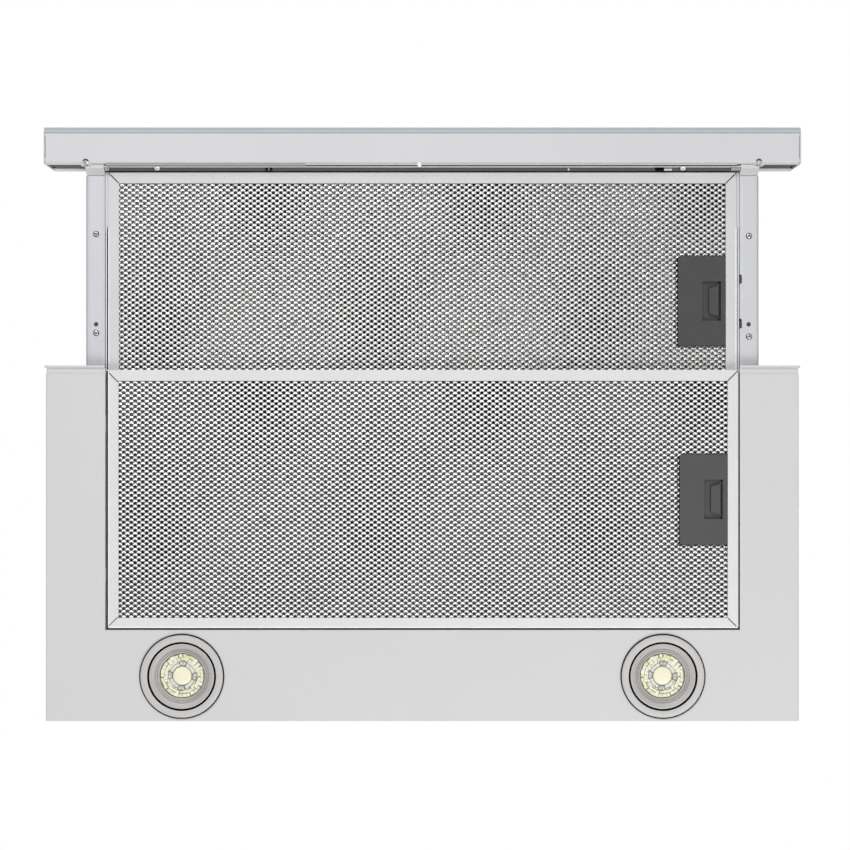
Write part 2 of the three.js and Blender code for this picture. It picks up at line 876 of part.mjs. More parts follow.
const blower = subassembly('blower');
both.forEach((side) => {
  place(blower, `scroll_${sideName(side)}`, scroll(side), 'blower');
  place(blower, `impeller_${sideName(side)}`, impeller(side), 'blower');
});
place(blower, 'motor_housing', motorHousing(), 'steel');
place(blower, 'motor_shaft', motorShaft(), 'steel');
place(blower, 'outlet_plenum', plenum(), 'blower');

// ---------------------------------------------------------------- outlet

const collarBottom = boxTop + seat;
const ledgeTop = collarBottom + ledgeThick;
const flapBottom = ledgeTop + seat;
const flapHinge = flapBottom + barrelRadius;
const collarTop = collarBottom + spigotHeight;
const spigotInner = spigotRadius - spigotWall;
const earInner = spigotInner - earThick - 5;

function outletCollar() {
  const profile = [
    [spigotInner - ledgeWidth, collarBottom],
    [spigotRadius + spigotFlange, collarBottom],
    [spigotRadius + spigotFlange, collarBottom + spigotFlangeThick],
    [spigotRadius, collarBottom + spigotFlangeThick],
    [spigotRadius, collarTop - 7],
    [spigotRadius + beadRise, collarTop - 5.5],
    [spigotRadius, collarTop - 4],
    [spigotRadius, collarTop],
    [spigotInner, collarTop],
    [spigotInner, ledgeTop],
    [spigotInner - ledgeWidth, ledgeTop],
  ];
  const ring = turned(profile, 0, shaftY, 32);
  const barHalf = spigotInner - ledgeWidth / 2;
  const bar = box(-hingeBar, hingeBar, shaftY - barHalf, shaftY + barHalf, collarBottom, ledgeTop);
  const ears = both.map((end) =>
    box(
      -hingeBar,
      hingeBar,
      shaftY + end * earInner,
      shaftY + end * (earInner + earThick),
      ledgeTop - 0.5,
      flapHinge + pinRadius + pinGap + 1.5,
    ),
  );
  const pinHoles = both.map((side) =>
    rodY(side * hingeOffset, flapHinge, pinRadius + pinGap, shaftY - earInner - 9, shaftY + earInner + 9, 8),
  );
  return cut(join(ring, bar, ...ears), ...pinHoles);
}

/** Half-moon flap with its hinge barrel and a stiffening rib. */
function draughtFlap(side) {
  const radius = spigotInner - flapGap;
  const open = Math.acos(hingeOffset / radius);
  const disc = new THREE.Shape();
  disc.absarc(0, 0, radius, side < 0 ? Math.PI - open : -open, side < 0 ? Math.PI + open : open);
  const plate = alongZ(disc, flapBottom, flapBottom + flapThick, 16).translate([0, shaftY, 0]);
  const barrelHalf = earInner - seat;
  const x = side * hingeOffset;
  const clearOfEars = both.map((end) =>
    box(
      0,
      side * (hingeBar + flapNotch),
      shaftY + end * barrelHalf,
      shaftY + end * (radius + 5),
      flapBottom - 1,
      flapBottom + flapThick + 1,
    ),
  );
  const barrel = rodY(x, flapHinge, barrelRadius, shaftY - barrelHalf, shaftY + barrelHalf);
  const pinHalf = barrelHalf + pinLength;
  const pins = rodY(x, flapHinge, pinRadius, shaftY - pinHalf, shaftY + pinHalf);
  const rib = box(x, side * (radius - 8), shaftY - 0.6, shaftY + 0.6, flapBottom + 0.5, flapHinge + 1);
  return join(cut(plate, ...clearOfEars), barrel, pins, rib);
}

const outlet = subassembly('outlet');
place(outlet, 'outlet_collar', outletCollar(), 'black');
both.forEach((side) => place(outlet, `draught_flap_${sideName(side)}`, draughtFlap(side), 'nylon'));

// ---------------------------------------------------------------- electrical

function capacitor() {
  const top = boxInnerTop - seat;
  const low = top - capacitorHeight;
  const profile = [
    [0, low],
    [capacitorRadius - 1.5, low],
    [capacitorRadius, low + 1.5],
    [capacitorRadius, top - 4],
    [capacitorNeck, top - 4],
    [capacitorNeck, top],
    [0, top],
  ];
  return turned(profile, boxHalf - capacitorInset, -boxDepth + capacitorSetback, 20);
}

function terminalBox() {
  const top = boxInnerTop - seat;
  const low = top - terminalHeight;
  const [halfWidth, halfDepth] = [terminalWidth / 2, terminalDepth / 2];
  const outline = (margin) =>
    roundedRectangle(
      -glandX - halfWidth - margin,
      -glandX + halfWidth + margin,
      glandY - halfDepth - margin,
      glandY + halfDepth + margin,
      4,
    );
  return join(alongZ(outline(0), low, top), alongZ(outline(1), low, low + 6));
}

/** Cable gland over the terminal box: body through the sheet, hexagon and cap nut. */
function cableGland() {
  const foot = boxTop + seat;
  const hexTop = foot + glandHexHeight;
  const hexProfile = [[0, foot], [glandHex, foot], [glandHex, hexTop], [0, hexTop]];
  const hexagon = turned(hexProfile, -glandX, glandY, 6);
  const capTop = foot + glandCapHeight;
  const cap = turned(
    [
      [0, boxInnerTop - seat],
      [glandRadius - seat, boxInnerTop - seat],
      [glandRadius - seat, hexTop - 1],
      [glandCap, hexTop - 1],
      [glandCap, capTop],
      [glandMouth, capTop + glandDome],
      [glandBore, capTop + glandDome],
      [glandBore, capTop - glandDome],
      [0, capTop - glandDome],
    ],
    -glandX,
    glandY,
    20,
  );
  return join(hexagon, cap);
}

function lampDriver() {
  const floor = underside + sheet + seat;
  const half = driverWidth / 2;
  const rear = -sheet - 8;
  const front = rear - driverDepth;
  const lug = 8;
  const ears = box(-half - lug, half + lug, front + 12, rear - 12, floor, floor + 2);
  return join(alongZ(roundedRectangle(-half, half, front, rear, 3), floor, floor + driverHeight), ears);
}

const electrical = subassembly('electrical');
place(electrical, 'capacitor', capacitor(), 'aluminium');
place(electrical, 'terminal_box', terminalBox(), 'black');
place(electrical, 'cable_gland', cableGland(), 'black');
place(electrical, 'lamp_driver', lampDriver(), 'nylon');

// ---------------------------------------------------------------- filters

/** Mitred channel frame: open slot inside, tabs at the left end, bolt windows at the right. */
function filterFrame(rear, bottom) {
  const front = rear - filterDepth;
  const [top, middleY] = [bottom + filterThick, (rear + front) / 2];
  const inside = (margin, z0, z1) =>
    box(-filterHalf + margin, filterHalf - margin, front + margin, rear - margin, z0, z1);
  const block = box(-filterHalf, filterHalf, front, rear, bottom, top);
  const tabs = both.map((end) => {
    const y = middleY + (end * tabSpread) / 2;
    const low = bottom + frameWall;
    const [y0, y1] = [y - tabWidth / 2, y + tabWidth / 2];
    return box(-filterHalf - tabReach, -filterHalf + 0.5, y0, y1, low, low + tabThick);
  });
  const windows = both.map((end) => {
    const y = middleY + (end * boltSpread) / 2;
    const half = boltWidth / 2 + slideGap;
    return box(filterHalf - 2, filterHalf + 1, y - half, y + half, bottom + frameWall, top - frameWall);
  });
  const mitres = both.flatMap((side) =>
    both.map((end) => {
      const half = (frameFace * Math.SQRT2) / 2 + 1;
      const high = bottom + mitreDepth;
      const groove = box(-half, half, -mitreWidth / 2, mitreWidth / 2, bottom - 1, high);
      const x = side * (filterHalf - frameFace / 2);
      const y = middleY + end * (filterDepth / 2 - frameFace / 2);
      return groove.rotate([0, 0, 45 * side * end]).translate([x, y, 0]);
    }),
  );
  return cut(
    join(block, ...tabs),
    inside(frameFace, bottom - 1, top + 1),
    inside(frameWall, bottom + frameWall, top - frameWall),
    ...windows,
    ...mitres,
  );
}

/** Expanded mesh pack, with a bite for the latch: staggered rows of lens-shaped openings. */
function filterMesh(rear, bottom) {
  const front = rear - filterDepth;
  const middleY = (rear + front) / 2;
  const margin = frameFace - frameGrip;
  const [halfX, halfY] = [filterHalf - margin, filterDepth / 2 - margin];
  const bite = latchEdge - latchWidth - seat;
  const biteHalf = latchLength / 2 + seat;
  const shape = new THREE.Shape([
    point(-halfX, middleY - halfY),
    point(halfX, middleY - halfY),
    point(halfX, middleY - biteHalf),
    point(bite, middleY - biteHalf),
    point(bite, middleY + biteHalf),
    point(halfX, middleY + biteHalf),
    point(halfX, middleY + halfY),
    point(-halfX, middleY + halfY),
  ]);
  const [openX, openY] = [meshPitchX / 2 - meshStrand / 2, meshPitchY / 2 - meshStrand / 2];
  const clearX = filterHalf - frameFace - openX;
  const clearY = filterDepth / 2 - frameFace - openY;
  const rows = Math.floor(clearY / (meshPitchY / 2));
  for (let row = -rows; row <= rows; row += 1) {
    const shift = row % 2 === 0 ? 0 : meshPitchX / 2;
    const y = middleY + (row * meshPitchY) / 2;
    for (let x = shift - meshPitchX * 8; x <= clearX; x += meshPitchX) {
      const byLatch = Math.abs(y - middleY) < biteHalf + openY + meshStrand / 2;
      if (x < -clearX || (byLatch && x + openX > bite - meshStrand)) continue;
      shape.holes.push(
        new THREE.Path([point(x - openX, y), point(x, y - openY), point(x + openX, y), point(x, y + openY)]),
      );
    }
  }
  return alongZ(shape, bottom + frameWall + seat, bottom + filterThick - frameWall - seat);
}

const latchEdge = filterHalf - frameFace - latchInset; // latch housing's right end
const pullRight = latchEdge - recessEdge - pullSlot;

/** Latch housing: finger recess from below, neck slot over it, channels for the two bolts. */
function latchHousing(rear, bottom) {
  const middleY = rear - filterDepth / 2;
  const low = bottom + 0.1;
  const high = low + latchThick;
  const recessRight = latchEdge - recessEdge;
  const outline = roundedRectangle(
    latchEdge - latchWidth,
    latchEdge,
    middleY - latchLength / 2,
    middleY + latchLength / 2,
    1.5,
  );
  const recess = box(
    recessRight - recessWidth,
    recessRight,
    middleY - recessLength / 2,
    middleY + recessLength / 2,
    low - 1,
    low + recessDepth,
  );
  const slotLeft = pullRight - neckWidth - pullTravel - neckGap;
  const across = (left, length) =>
    box(left, recessRight, middleY - length / 2, middleY + length / 2, low, high + 1);
  const slot = join(across(slotLeft, neckLength + 2 * slideGap), across(pullRight, pullLength));
  const boltChannels = both.map((end) => {
    const y = middleY + (end * boltSpread) / 2;
    const half = boltWidth / 2 + slideGap;
    return box(boltRoot - pullTravel - slideGap, latchEdge + 1, y - half, y + half, low + 0.8, high + 1);
  });
  return cut(alongZ(outline, low, high), recess, slot, ...boltChannels);
}

const boltRoot = latchEdge + 0.4;

/** Sliding latch: finger pull in the recess, neck, yoke over the housing, two bolts. */
function latchSlide(rear, bottom, reach) {
  const middleY = rear - filterDepth / 2;
  const pullLow = bottom + 0.6;
  const pullHigh = bottom + recessDepth - 0.2;
  const yokeLow = bottom + latchThick + seat + 0.1;
  const yokeHigh = yokeLow + yokeThick;
  const pull = new THREE.Shape([
    point(pullRight, middleY - pullLength / 2),
    point(pullRight, middleY + pullLength / 2),
    point(pullRight - pullWidth, middleY + pullNarrow / 2),
    point(pullRight - pullWidth, middleY - pullNarrow / 2),
  ]);
  const neck = box(
    pullRight - neckWidth,
    pullRight,
    middleY - neckLength / 2,
    middleY + neckLength / 2,
    pullLow + 0.5,
    yokeHigh,
  );
  const yokeHalf = boltSpread / 2 + boltWidth / 2;
  const yokeLeft = pullRight - pullWidth;
  const yoke = box(yokeLeft, boltRoot + 1, middleY - yokeHalf, middleY + yokeHalf, yokeLow, yokeHigh);
  const bolts = both.map((end) => {
    const y = middleY + (end * boltSpread) / 2;
    const tip = filterHalf + reach;
    return box(boltRoot, tip, y - boltWidth / 2, y + boltWidth / 2, bottom + frameWall + seat, yokeHigh);
  });
  return join(alongZ(pull, pullLow, pullHigh), neck, yoke, ...bolts);
}

const frontBoltReach = armGap + catchDepth - 0.8;
const rearBoltReach = filterGap - seat;

const filters = subassembly('filters');
function placeFilter(name, rear, bottom, reach) {
  place(filters, `${name}_filter_frame`, filterFrame(rear, bottom), 'aluminium');
  place(filters, `${name}_filter_mesh`, filterMesh(rear, bottom), 'mesh');
  place(filters, `${name}_latch_housing`, latchHousing(rear, bottom), 'latch');
  place(filters, `${name}_latch_slide`, latchSlide(rear, bottom, reach), 'latch');
}
placeFilter('rear', rearFilterRear, rearFilterBottom, rearBoltReach);
placeFilter('front', frontFilterRear, frontFilterBottom, frontBoltReach);

// ---------------------------------------------------------------- carriage

/** Folded channel beside the front filter: tab slots on the left, bolt catches on the right. */
function arm(side) {
  const face = [
    point(side * armInner, armTop),
    point(side * armInner, armBottom),
    point(side * armOuter, armBottom),
    point(side * armOuter, armTop),
  ];
  const strip = alongY(foldedSection(face, armWall, armBend, side), armFront, armRear);
  const middleY = frontFilterRear - filterDepth / 2;
  const inner = side * armInner;
  const slots = both.map((end) => {
    if (side < 0) {
      const y = middleY + (end * tabSpread) / 2;
      const half = tabWidth / 2 + 1;
      const low = frontFilterBottom + frameWall - seat;
      return box(inner + 1, inner - tabReach, y - half, y + half, low, low + tabReach + 2.5);
    }
    const y = middleY + (end * boltSpread) / 2;
    const half = boltWidth / 2 + slideGap;
    const high = frontFilterBottom + filterThick;
    return box(inner - 1, inner + catchDepth, y - half, y + half, armBottom - 1, high);
  });
  const holeX = (side * (armInner + armOuter)) / 2;
  const holeY = middleY + armHoleOffset;
  const hole = rod(holeX, holeY, armHole, armBottom - 1, armBottom + 3, 12);
  return cut(strip, ...slots, hole);
}

/** Moulded plug that joins an arm to the bar. */
function cornerPiece(side) {
  const front = barRear + seat;
  const sole = armBottom + armBend;
  const profile = new THREE.Shape([
    point(front, crossBottom),
    point(front + 3, crossBottom),
    point(armFront - seat, armBottom),
    point(armFront - seat, sole),
    point(armFront + 10, sole),
    point(armFront + 10, armTop - 4),
    point(armFront - seat, armTop - 4),
    point(armFront - seat, armTop),
    point(front, armTop),
  ]);
  const inner = armInner + armWall + seat;
  const outer = armOuter - armWall - seat;
  return alongX(profile, side * inner, side * outer);
}

/** Wall across the carriage behind the bar, with a flange under the cover. */
function crossMember() {
  const face = [
    point(crossFront, crossBottom),
    point(crossFront, armTop),
    point(armFront - seat, armTop),
  ];
  const half = armInner + armWall;
  return alongX(foldedSection(face, sheet, bend, -1), -half, half);
}

function carriageCover() {
  const half = armOuter - 0.2;
  return box(-half, half, crossFront, bodyFront + coverOverlap, armTop + seat, armTop + seat + sheet);
}

/** Channel between the arms, behind the front filter. */
function rearTie() {
  const low = frontFilterBottom;
  const high = low + filterThick;
  const face = [point(tieFront, high), point(tieFront, low), point(tieRear, low), point(tieRear, high)];
  const half = armInner - seat;
  return alongX(foldedSection(face, sheet, bend, 1), -half, half);
}

/** Folded fascia, open to the rear between its two lips, with a window for the controls. */
function frontBar() {
  const face = [
    point(barRear, underside + barLowerLip),
    point(barRear, underside),
    point(barFront, underside),
    point(barFront, barTop),
    point(barRear, barTop),
    point(barRear, barTop - barUpperLip),
  ];
  const half = barHalf - barEnd - seat;
  const bar = alongX(foldedSection(face, sheet, barBend, -1), -half, half);
  return cut(bar, controlWindow(barFront - 1, barFront + 4));
}

const windowHalfX = (buttonCount * buttonPitch) / 2 + 2;
const windowHalfZ = buttonHeight / 2 + 3;
const controlBlock = (halfX, y0, y1, halfZ) =>
  box(controlX - halfX, controlX + halfX, y0, y1, controlZ - halfZ, controlZ + halfZ);
const controlWindow = (y0, y1) => controlBlock(windowHalfX, y0, y1, windowHalfZ);

function frontGlass() {
  const half = barHalf;
  const pane = roundedRectangle(-half, half, underside, underside + glassHeight, glassCorner);
  return cut(alongY(pane, glassFront, glassRear), controlWindow(glassFront - 1, glassRear + 1));
}

/** End cap with a plug that fills the bar's section. */
function barEndCap(side) {
  const outline = (margin, rear) =>
    roundedRectangle(
      barFront + margin,
      rear,
      underside + margin,
      barTop - margin,
      barBend - margin,
    );
  const outer = side * barHalf;
  const inner = outer - side * barEnd;
  const plugMargin = sheet + seat;
  return join(
    alongX(outline(0, barRear), inner, outer),
    alongX(outline(plugMargin, barFront + capRib), inner - side * capPlug, inner + side * (barEnd / 2)),
  );
}

const buttonX = (index) => controlX + (index - (buttonCount - 1) / 2) * buttonPitch;
const bezelFace = glassFront - seat - bezelThick;

function buttonBezel() {
  const flangeX = windowHalfX + bezelRim;
  const flangeZ = windowHalfZ + bezelRim;
  const outline = roundedRectangle(
    controlX - flangeX,
    controlX + flangeX,
    controlZ - flangeZ,
    controlZ + flangeZ,
    3,
  );
  const rim = alongY(outline, bezelFace, glassFront - seat);
  const sleeveFront = bezelFace + bezelThick / 2;
  const sleeve = controlBlock(windowHalfX - seat, sleeveFront, barFront + sheet, windowHalfZ - seat);
  const holes = Array.from({ length: buttonCount }, (_, i) => buttonRoom(i, bezelFace - 1, barFront + 3));
  return cut(join(rim, sleeve), ...holes);
}

function buttonRoom(index, y0, y1, margin = slideGap) {
  const x = buttonX(index);
  const [halfX, halfZ] = [buttonWidth / 2 + margin, buttonHeight / 2 + margin];
  return box(x - halfX, x + halfX, y0, y1, controlZ - halfZ, controlZ + halfZ);
}

/** Housing of the switches behind the bezel, with a pocket for each button. */
function controlHousing() {
  const front = barFront + sheet + seat;
  const [halfX, halfZ] = [windowHalfX + housingMargin, windowHalfZ + housingMargin];
  const rear = barRear - housingShort;
  const block = controlBlock(halfX, front, rear, halfZ);
  const pocketFloor = bezelFace - buttonProud + buttonLength + 2 + buttonTravel + slideGap;
  const pockets = Array.from({ length: buttonCount }, (_, i) => buttonRoom(i, front - 1, pocketFloor, 1.2));
  const plugX = controlX + connectorWidth;
  const plugZ = controlZ + connectorHeight + 2;
  const connector = box(controlX, plugX, rear - 1, rear + connectorLength, controlZ + 2, plugZ);
  return join(cut(block, ...pockets), connector);
}

/** Push button: cap through the bezel, with a flange behind it that keeps it in. */
function pushButton(index) {
  const x = buttonX(index);
  const front = bezelFace - buttonProud;
  const flangeFront = barFront + sheet + seat + 0.1;
  const flangeBack = front + buttonLength + 2;
  const cap = roundedRectangle(
    x - buttonWidth / 2,
    x + buttonWidth / 2,
    controlZ - buttonHeight / 2,
    controlZ + buttonHeight / 2,
    1.5,
  );
  const [halfX, halfZ] = [buttonWidth / 2 + 0.8, buttonHeight / 2 + 0.8];
  return join(
    alongY(cap, front, flangeBack),
    box(x - halfX, x + halfX, flangeFront, flangeBack, controlZ - halfZ, controlZ + halfZ),
  );
}

const carriage = subassembly('carriage');
both.forEach((side) => {
  const name = sideName(side);
  place(carriage, `arm_${name}`, arm(side), 'arm');
  place(carriage, `corner_piece_${name}`, cornerPiece(side), 'nylon');
  place(carriage, `rear_glide_${name}`, glide(side, armRear - glideLength, armRear, seat, slideGap), 'nylon');
  place(carriage, `bar_end_cap_${name}`, barEndCap(side), 'paintBright');
});
place(carriage, 'cross_member', crossMember(), 'paint');
place(carriage, 'carriage_cover', carriageCover(), 'paint');
place(carriage, 'rear_tie', rearTie(), 'paint');
place(carriage, 'front_bar', frontBar(), 'paintBright');
place(carriage, 'front_glass', frontGlass(), 'glass');
place(carriage, 'button_bezel', buttonBezel(), 'chrome');
place(carriage, 'control_housing', controlHousing(), 'black');
for (let i = 0; i < buttonCount; i += 1) {
  place(carriage, `push_button_${i + 1}`, pushButton(i), 'chrome');
}

export default hood;
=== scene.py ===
"""Looks of the pull-out range hood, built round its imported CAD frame.

Metres, +Z up, the front towards -Y, the wall at y = 0. The camera looks up at the underside.
"""

import math
import random

import bmesh
import bpy
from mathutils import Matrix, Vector


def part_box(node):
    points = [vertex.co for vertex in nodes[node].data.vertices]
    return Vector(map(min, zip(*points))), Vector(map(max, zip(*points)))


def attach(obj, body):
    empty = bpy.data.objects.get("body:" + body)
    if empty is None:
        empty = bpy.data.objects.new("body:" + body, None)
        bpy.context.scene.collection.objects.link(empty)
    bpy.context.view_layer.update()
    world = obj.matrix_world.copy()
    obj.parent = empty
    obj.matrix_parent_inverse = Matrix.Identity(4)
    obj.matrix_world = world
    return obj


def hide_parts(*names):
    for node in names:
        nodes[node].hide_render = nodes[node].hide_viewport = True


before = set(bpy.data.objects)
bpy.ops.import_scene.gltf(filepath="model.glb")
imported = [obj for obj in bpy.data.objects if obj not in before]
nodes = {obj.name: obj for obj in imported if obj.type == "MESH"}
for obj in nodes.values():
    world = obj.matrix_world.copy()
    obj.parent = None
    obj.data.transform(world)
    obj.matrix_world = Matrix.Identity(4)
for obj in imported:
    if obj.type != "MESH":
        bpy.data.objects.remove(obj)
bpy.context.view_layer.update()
MM = 0.001
SIDES = (("left", -1), ("right", 1))
DOWN, UP = (0, 0, -1), (0, 0, 1)
# how a finish is stretched: not at all, or drawn out along X or along Y
EVEN, ALONG_X, ALONG_Y = (1, 1, 1), (0.08, 1, 1), (1, 0.05, 1)


# ---------------------------------- finishes

class Finish:
    """A node material that is put together one layer at a time, in the frame's own metres."""

    OCTAVES = 3  # of a noise
    MIX_FIRST, MIX_SECOND, MIX_RESULT = 6, 7, 2  # colour sockets of a mix node

    def __init__(self, name, colour, metallic=0.0, specular=0.5, coat=0.0, coat_rough=0.1,
                 ior=1.45):
        self.material = bpy.data.materials.new(name)
        self.material.use_nodes = True
        self.tree = self.material.node_tree
        self.shader = self.tree.nodes["Principled BSDF"]
        self.place = self.add("ShaderNodeTexCoord").outputs["Object"]
        self.colour = self.shade(colour)
        self.normal = None
        self.put("Metallic", metallic)
        self.put("Specular IOR Level", specular)
        self.put("IOR", ior)
        self.put("Coat Weight", coat)
        self.put("Coat Roughness", coat_rough)

    def add(self, kind, **settings):
        node = self.tree.nodes.new(kind)
        for key, value in settings.items():
            setattr(node, key, value)
        return node

    def put(self, socket, value):
        self.shader.inputs[socket].default_value = value

    def shade(self, colour):
        node = self.add("ShaderNodeRGB")
        node.outputs[0].default_value = (*colour, 1)
        return node.outputs[0]

    def link(self, source, target):
        self.tree.links.new(source, target)

    def noise(self, size, stretch=EVEN):
        """Noise whose lumps are about size metres across."""
        place, node = self.add("ShaderNodeMapping"), self.add("ShaderNodeTexNoise")
        place.inputs["Scale"].default_value = stretch
        node.inputs["Scale"].default_value = 1 / size
        node.inputs["Detail"].default_value = self.OCTAVES
        self.link(self.place, place.inputs["Vector"])
        self.link(place.outputs["Vector"], node.inputs["Vector"])
        return node.outputs["Fac"]

    def cells(self, size, output):
        """Irregular cells about size metres across."""
        node = self.add("ShaderNodeTexVoronoi")
        node.inputs["Scale"].default_value = 1 / size
        self.link(self.place, node.inputs["Vector"])
        return node.outputs[output]

    def facing(self, axis):
        """How far the surface turns along an axis, from -1 to 1."""
        face = self.add("ShaderNodeNewGeometry")
        split = self.add("ShaderNodeSeparateXYZ")
        self.link(face.outputs["Normal"], split.inputs[0])
        return split.outputs[axis]

    def ranged(self, source, low, high, start=0.3, end=0.7):
        """The source, with start to end stretched over low to high; noise lies in 0.3 to 0.7."""
        node = self.add("ShaderNodeMapRange")
        for key, value in (("From Min", start), ("From Max", end),
                           ("To Min", low), ("To Max", high)):
            node.inputs[key].default_value = value
        self.link(source, node.inputs["Value"])
        return node.outputs["Result"]

    def mixed(self, factor, other):
        """The colour so far, mixed with another by a factor from 0 to 1."""
        node = self.add("ShaderNodeMix", data_type="RGBA")
        self.link(factor, node.inputs["Factor"])
        self.link(self.colour, node.inputs[self.MIX_FIRST])
        self.link(self.shade(other), node.inputs[self.MIX_SECOND])
        self.colour = node.outputs[self.MIX_RESULT]
        return self

    def scaled(self, factor):
        """The colour so far, times a factor."""
        node = self.add("ShaderNodeVectorMath", operation="SCALE")
        self.link(self.colour, node.inputs[0])
        self.link(factor, node.inputs["Scale"])
        self.colour = node.outputs[0]
        return self

    def tone(self, spread, size, stretch=EVEN):
        """The colour made lighter and darker by a share of itself."""
        return self.scaled(self.ranged(self.noise(size, stretch), 1 - spread, 1 + spread))

    def rough(self, middle, spread, size=0.02, stretch=EVEN):
        source = self.ranged(self.noise(size, stretch), middle - spread, middle + spread)
        self.link(source, self.shader.inputs["Roughness"])
        return self

    def grain(self, size, depth, stretch=EVEN):
        """Bumps over those so far, depth metres deep."""
        node = self.add("ShaderNodeBump")
        node.inputs["Distance"].default_value = depth
        self.link(self.noise(size, stretch), node.inputs["Height"])
        if self.normal:
            self.link(self.normal, node.inputs["Normal"])
        self.normal = node.outputs["Normal"]
        return self

    def made(self):
        self.link(self.colour, self.shader.inputs["Base Color"])
        if self.normal:
            self.link(self.normal, self.shader.inputs["Normal"])
        return self.material


def paint(name, colour):
    """Powder coat: a faint orange peel and slow changes of tone."""
    coat = Finish(name, colour, specular=0.45, coat=0.12, coat_rough=0.35)
    coat.tone(0.012, 0.09).tone(0.010, 0.0012)
    coat.rough(0.42, 0.05, 0.004)
    coat.grain(0.0011, 0.00002).grain(0.02, 0.00008)
    return coat.made()


def zinc(name, colour):
    """Galvanised sheet with its spangle and rolling marks."""
    sheet = Finish(name, colour, metallic=0.75)
    grey = sheet.add("ShaderNodeSeparateColor")
    sheet.link(sheet.cells(0.007, "Color"), grey.inputs[0])
    sheet.scaled(sheet.ranged(grey.outputs[0], 0.9, 1.06, 0, 1))
    sheet.tone(0.05, 0.06).tone(0.025, 0.002, (0.05, 1, 1))
    sheet.rough(0.42, 0.1, 0.008)
    sheet.grain(0.0015, 0.00002, ALONG_X)
    return sheet.made()


def brushed(name, colour, metallic, rough, stretch=EVEN, tone=0.05, depth=0.00003):
    """Bare metal, brushed or drawn the way it is stretched."""
    metal = Finish(name, colour, metallic=metallic)
    metal.tone(tone, 0.0016, stretch).tone(0.02, 0.05)
    metal.rough(rough, 0.07, 0.003, stretch)
    metal.grain(0.0012, depth, stretch)
    return metal.made()


def arm_steel(name, colour):
    """Drawn along its length, with painted shade where its long edges turn away from the light."""
    steel = Finish(name, colour, metallic=0.15)
    # painted shade: the colour falls to 0.6 where the surface turns sideways
    turn = steel.add("ShaderNodeMath", operation="ABSOLUTE")
    steel.link(steel.facing("X"), turn.inputs[0])
    steel.scaled(steel.ranged(turn.outputs[0], 1.0, 0.6, 0.35, 0.95))
    steel.tone(0.012, 0.0016, ALONG_Y).tone(0.015, 0.05)
    steel.rough(0.42, 0.06, 0.003, ALONG_Y)
    steel.grain(0.0012, 0.00001, ALONG_Y)
    return steel.made()


def speckled(name, colour, metallic, rough):
    """Satin aluminium section, lightly speckled."""
    metal = Finish(name, colour, metallic=metallic)
    metal.tone(0.035, 0.0011).tone(0.02, 0.04)
    metal.rough(rough, 0.06, 0.002)
    metal.grain(0.0008, 0.00002)
    return metal.made()


def plastic(name, colour, rough=0.5, grain=0.0007, depth=0.00004, tone=0.05):
    """Moulded plastic with a fine spark-eroded grain."""
    moulded = Finish(name, colour, specular=0.45)
    moulded.tone(tone, 0.012).tone(tone / 2, 0.001)
    moulded.rough(rough, 0.07, 0.003)
    moulded.grain(grain, depth)
    return moulded.made()


def glass(name):
    """Toughened glass, printed pale grey on its back and blue-grey where its ground edge shows."""
    pane = Finish(name, (0.40, 0.455, 0.50), coat=1.0, coat_rough=0.03, ior=1.52)
    pane.mixed(pane.ranged(pane.facing("Y"), 1, 0, -0.9, -0.6), (0.62, 0.66, 0.67))
    pane.tone(0.02, 0.03).tone(0.03, 0.0008)
    pane.rough(0.2, 0.04, 0.01)
    pane.grain(0.0009, 0.000008)
    return pane.made()


def chrome(name):
    """Satin chrome on plastic."""
    plate = Finish(name, (0.56, 0.57, 0.59), metallic=1.0)
    plate.tone(0.03, 0.01).rough(0.2, 0.05, 0.004).grain(0.003, 0.00001)
    return plate.made()


def lens(name, colour):
    """Frosted lens over a warm light source."""
    cover = Finish(name, colour, coat=0.35, coat_rough=0.12, ior=1.5)
    cover.mixed(cover.ranged(cover.noise(0.004), 0, 0.5), (0.80, 0.78, 0.50))
    cover.tone(0.06, 0.0016)
    cover.rough(0.28, 0.08, 0.002)
    cover.grain(0.0012, 0.00006)
    return cover.made()


def mesh_metal(name, colour, rough, tone):
    """Cut and stretched aluminium foil."""
    metal = Finish(name, colour, metallic=0.55)
    metal.tone(tone, 0.0022).tone(0.03, 0.03)
    metal.rough(rough, 0.08, 0.002)
    metal.grain(0.0005, 0.00003)
    return metal.made()


def enamel(name, colour, rough=0.7, mottle=0.15, specular=0.3):
    """Plain dark or pale filler colour with a soft mottle."""
    plain = Finish(name, colour, specular=specular)
    plain.tone(mottle, 0.003).rough(rough, 0.08, 0.003).grain(0.001, 0.00003)
    return plain.made()


FINISHES = {name: make(name, *values) for name, make, *values in (
    ("casing_paint", paint, (0.665, 0.665, 0.672)),
    ("bar_paint", paint, (0.665, 0.66, 0.68)),
    ("zinc_sheet", zinc, (0.52, 0.54, 0.55)),
    ("arm_steel", arm_steel, (0.625, 0.63, 0.66)),
    ("frame_aluminium", speckled, (0.745, 0.745, 0.742), 0.1, 0.45),
    ("mesh_aluminium", mesh_metal, (0.6, 0.6, 0.6), 0.35, 0.15),
    ("tinted_glass", glass),
    ("latch_plastic", plastic, (0.073, 0.073, 0.074)),
    ("black_plastic", plastic, (0.016, 0.016, 0.018)),
    ("white_nylon", plastic, (0.70, 0.695, 0.665), 0.45, 0.0012, 0.00001, 0.02),
    ("lamp_metal", brushed, (0.575, 0.565, 0.56), 0.1, 0.5, EVEN, 0.03, 0.00002),
    ("lamp_lens", lens, (0.86, 0.85, 0.62)),
    ("chrome_plate", chrome),
    ("bare_steel", brushed, (0.46, 0.47, 0.49), 0.9, 0.33, ALONG_X),
    ("blower_plastic", plastic, (0.03, 0.031, 0.034), 0.5, 0.001, 0.00006),
)}


def both(*names):
    """The nodes on the left and right that share these names."""
    return [f"{name}_{side}" for name in names for side, _ in SIDES]


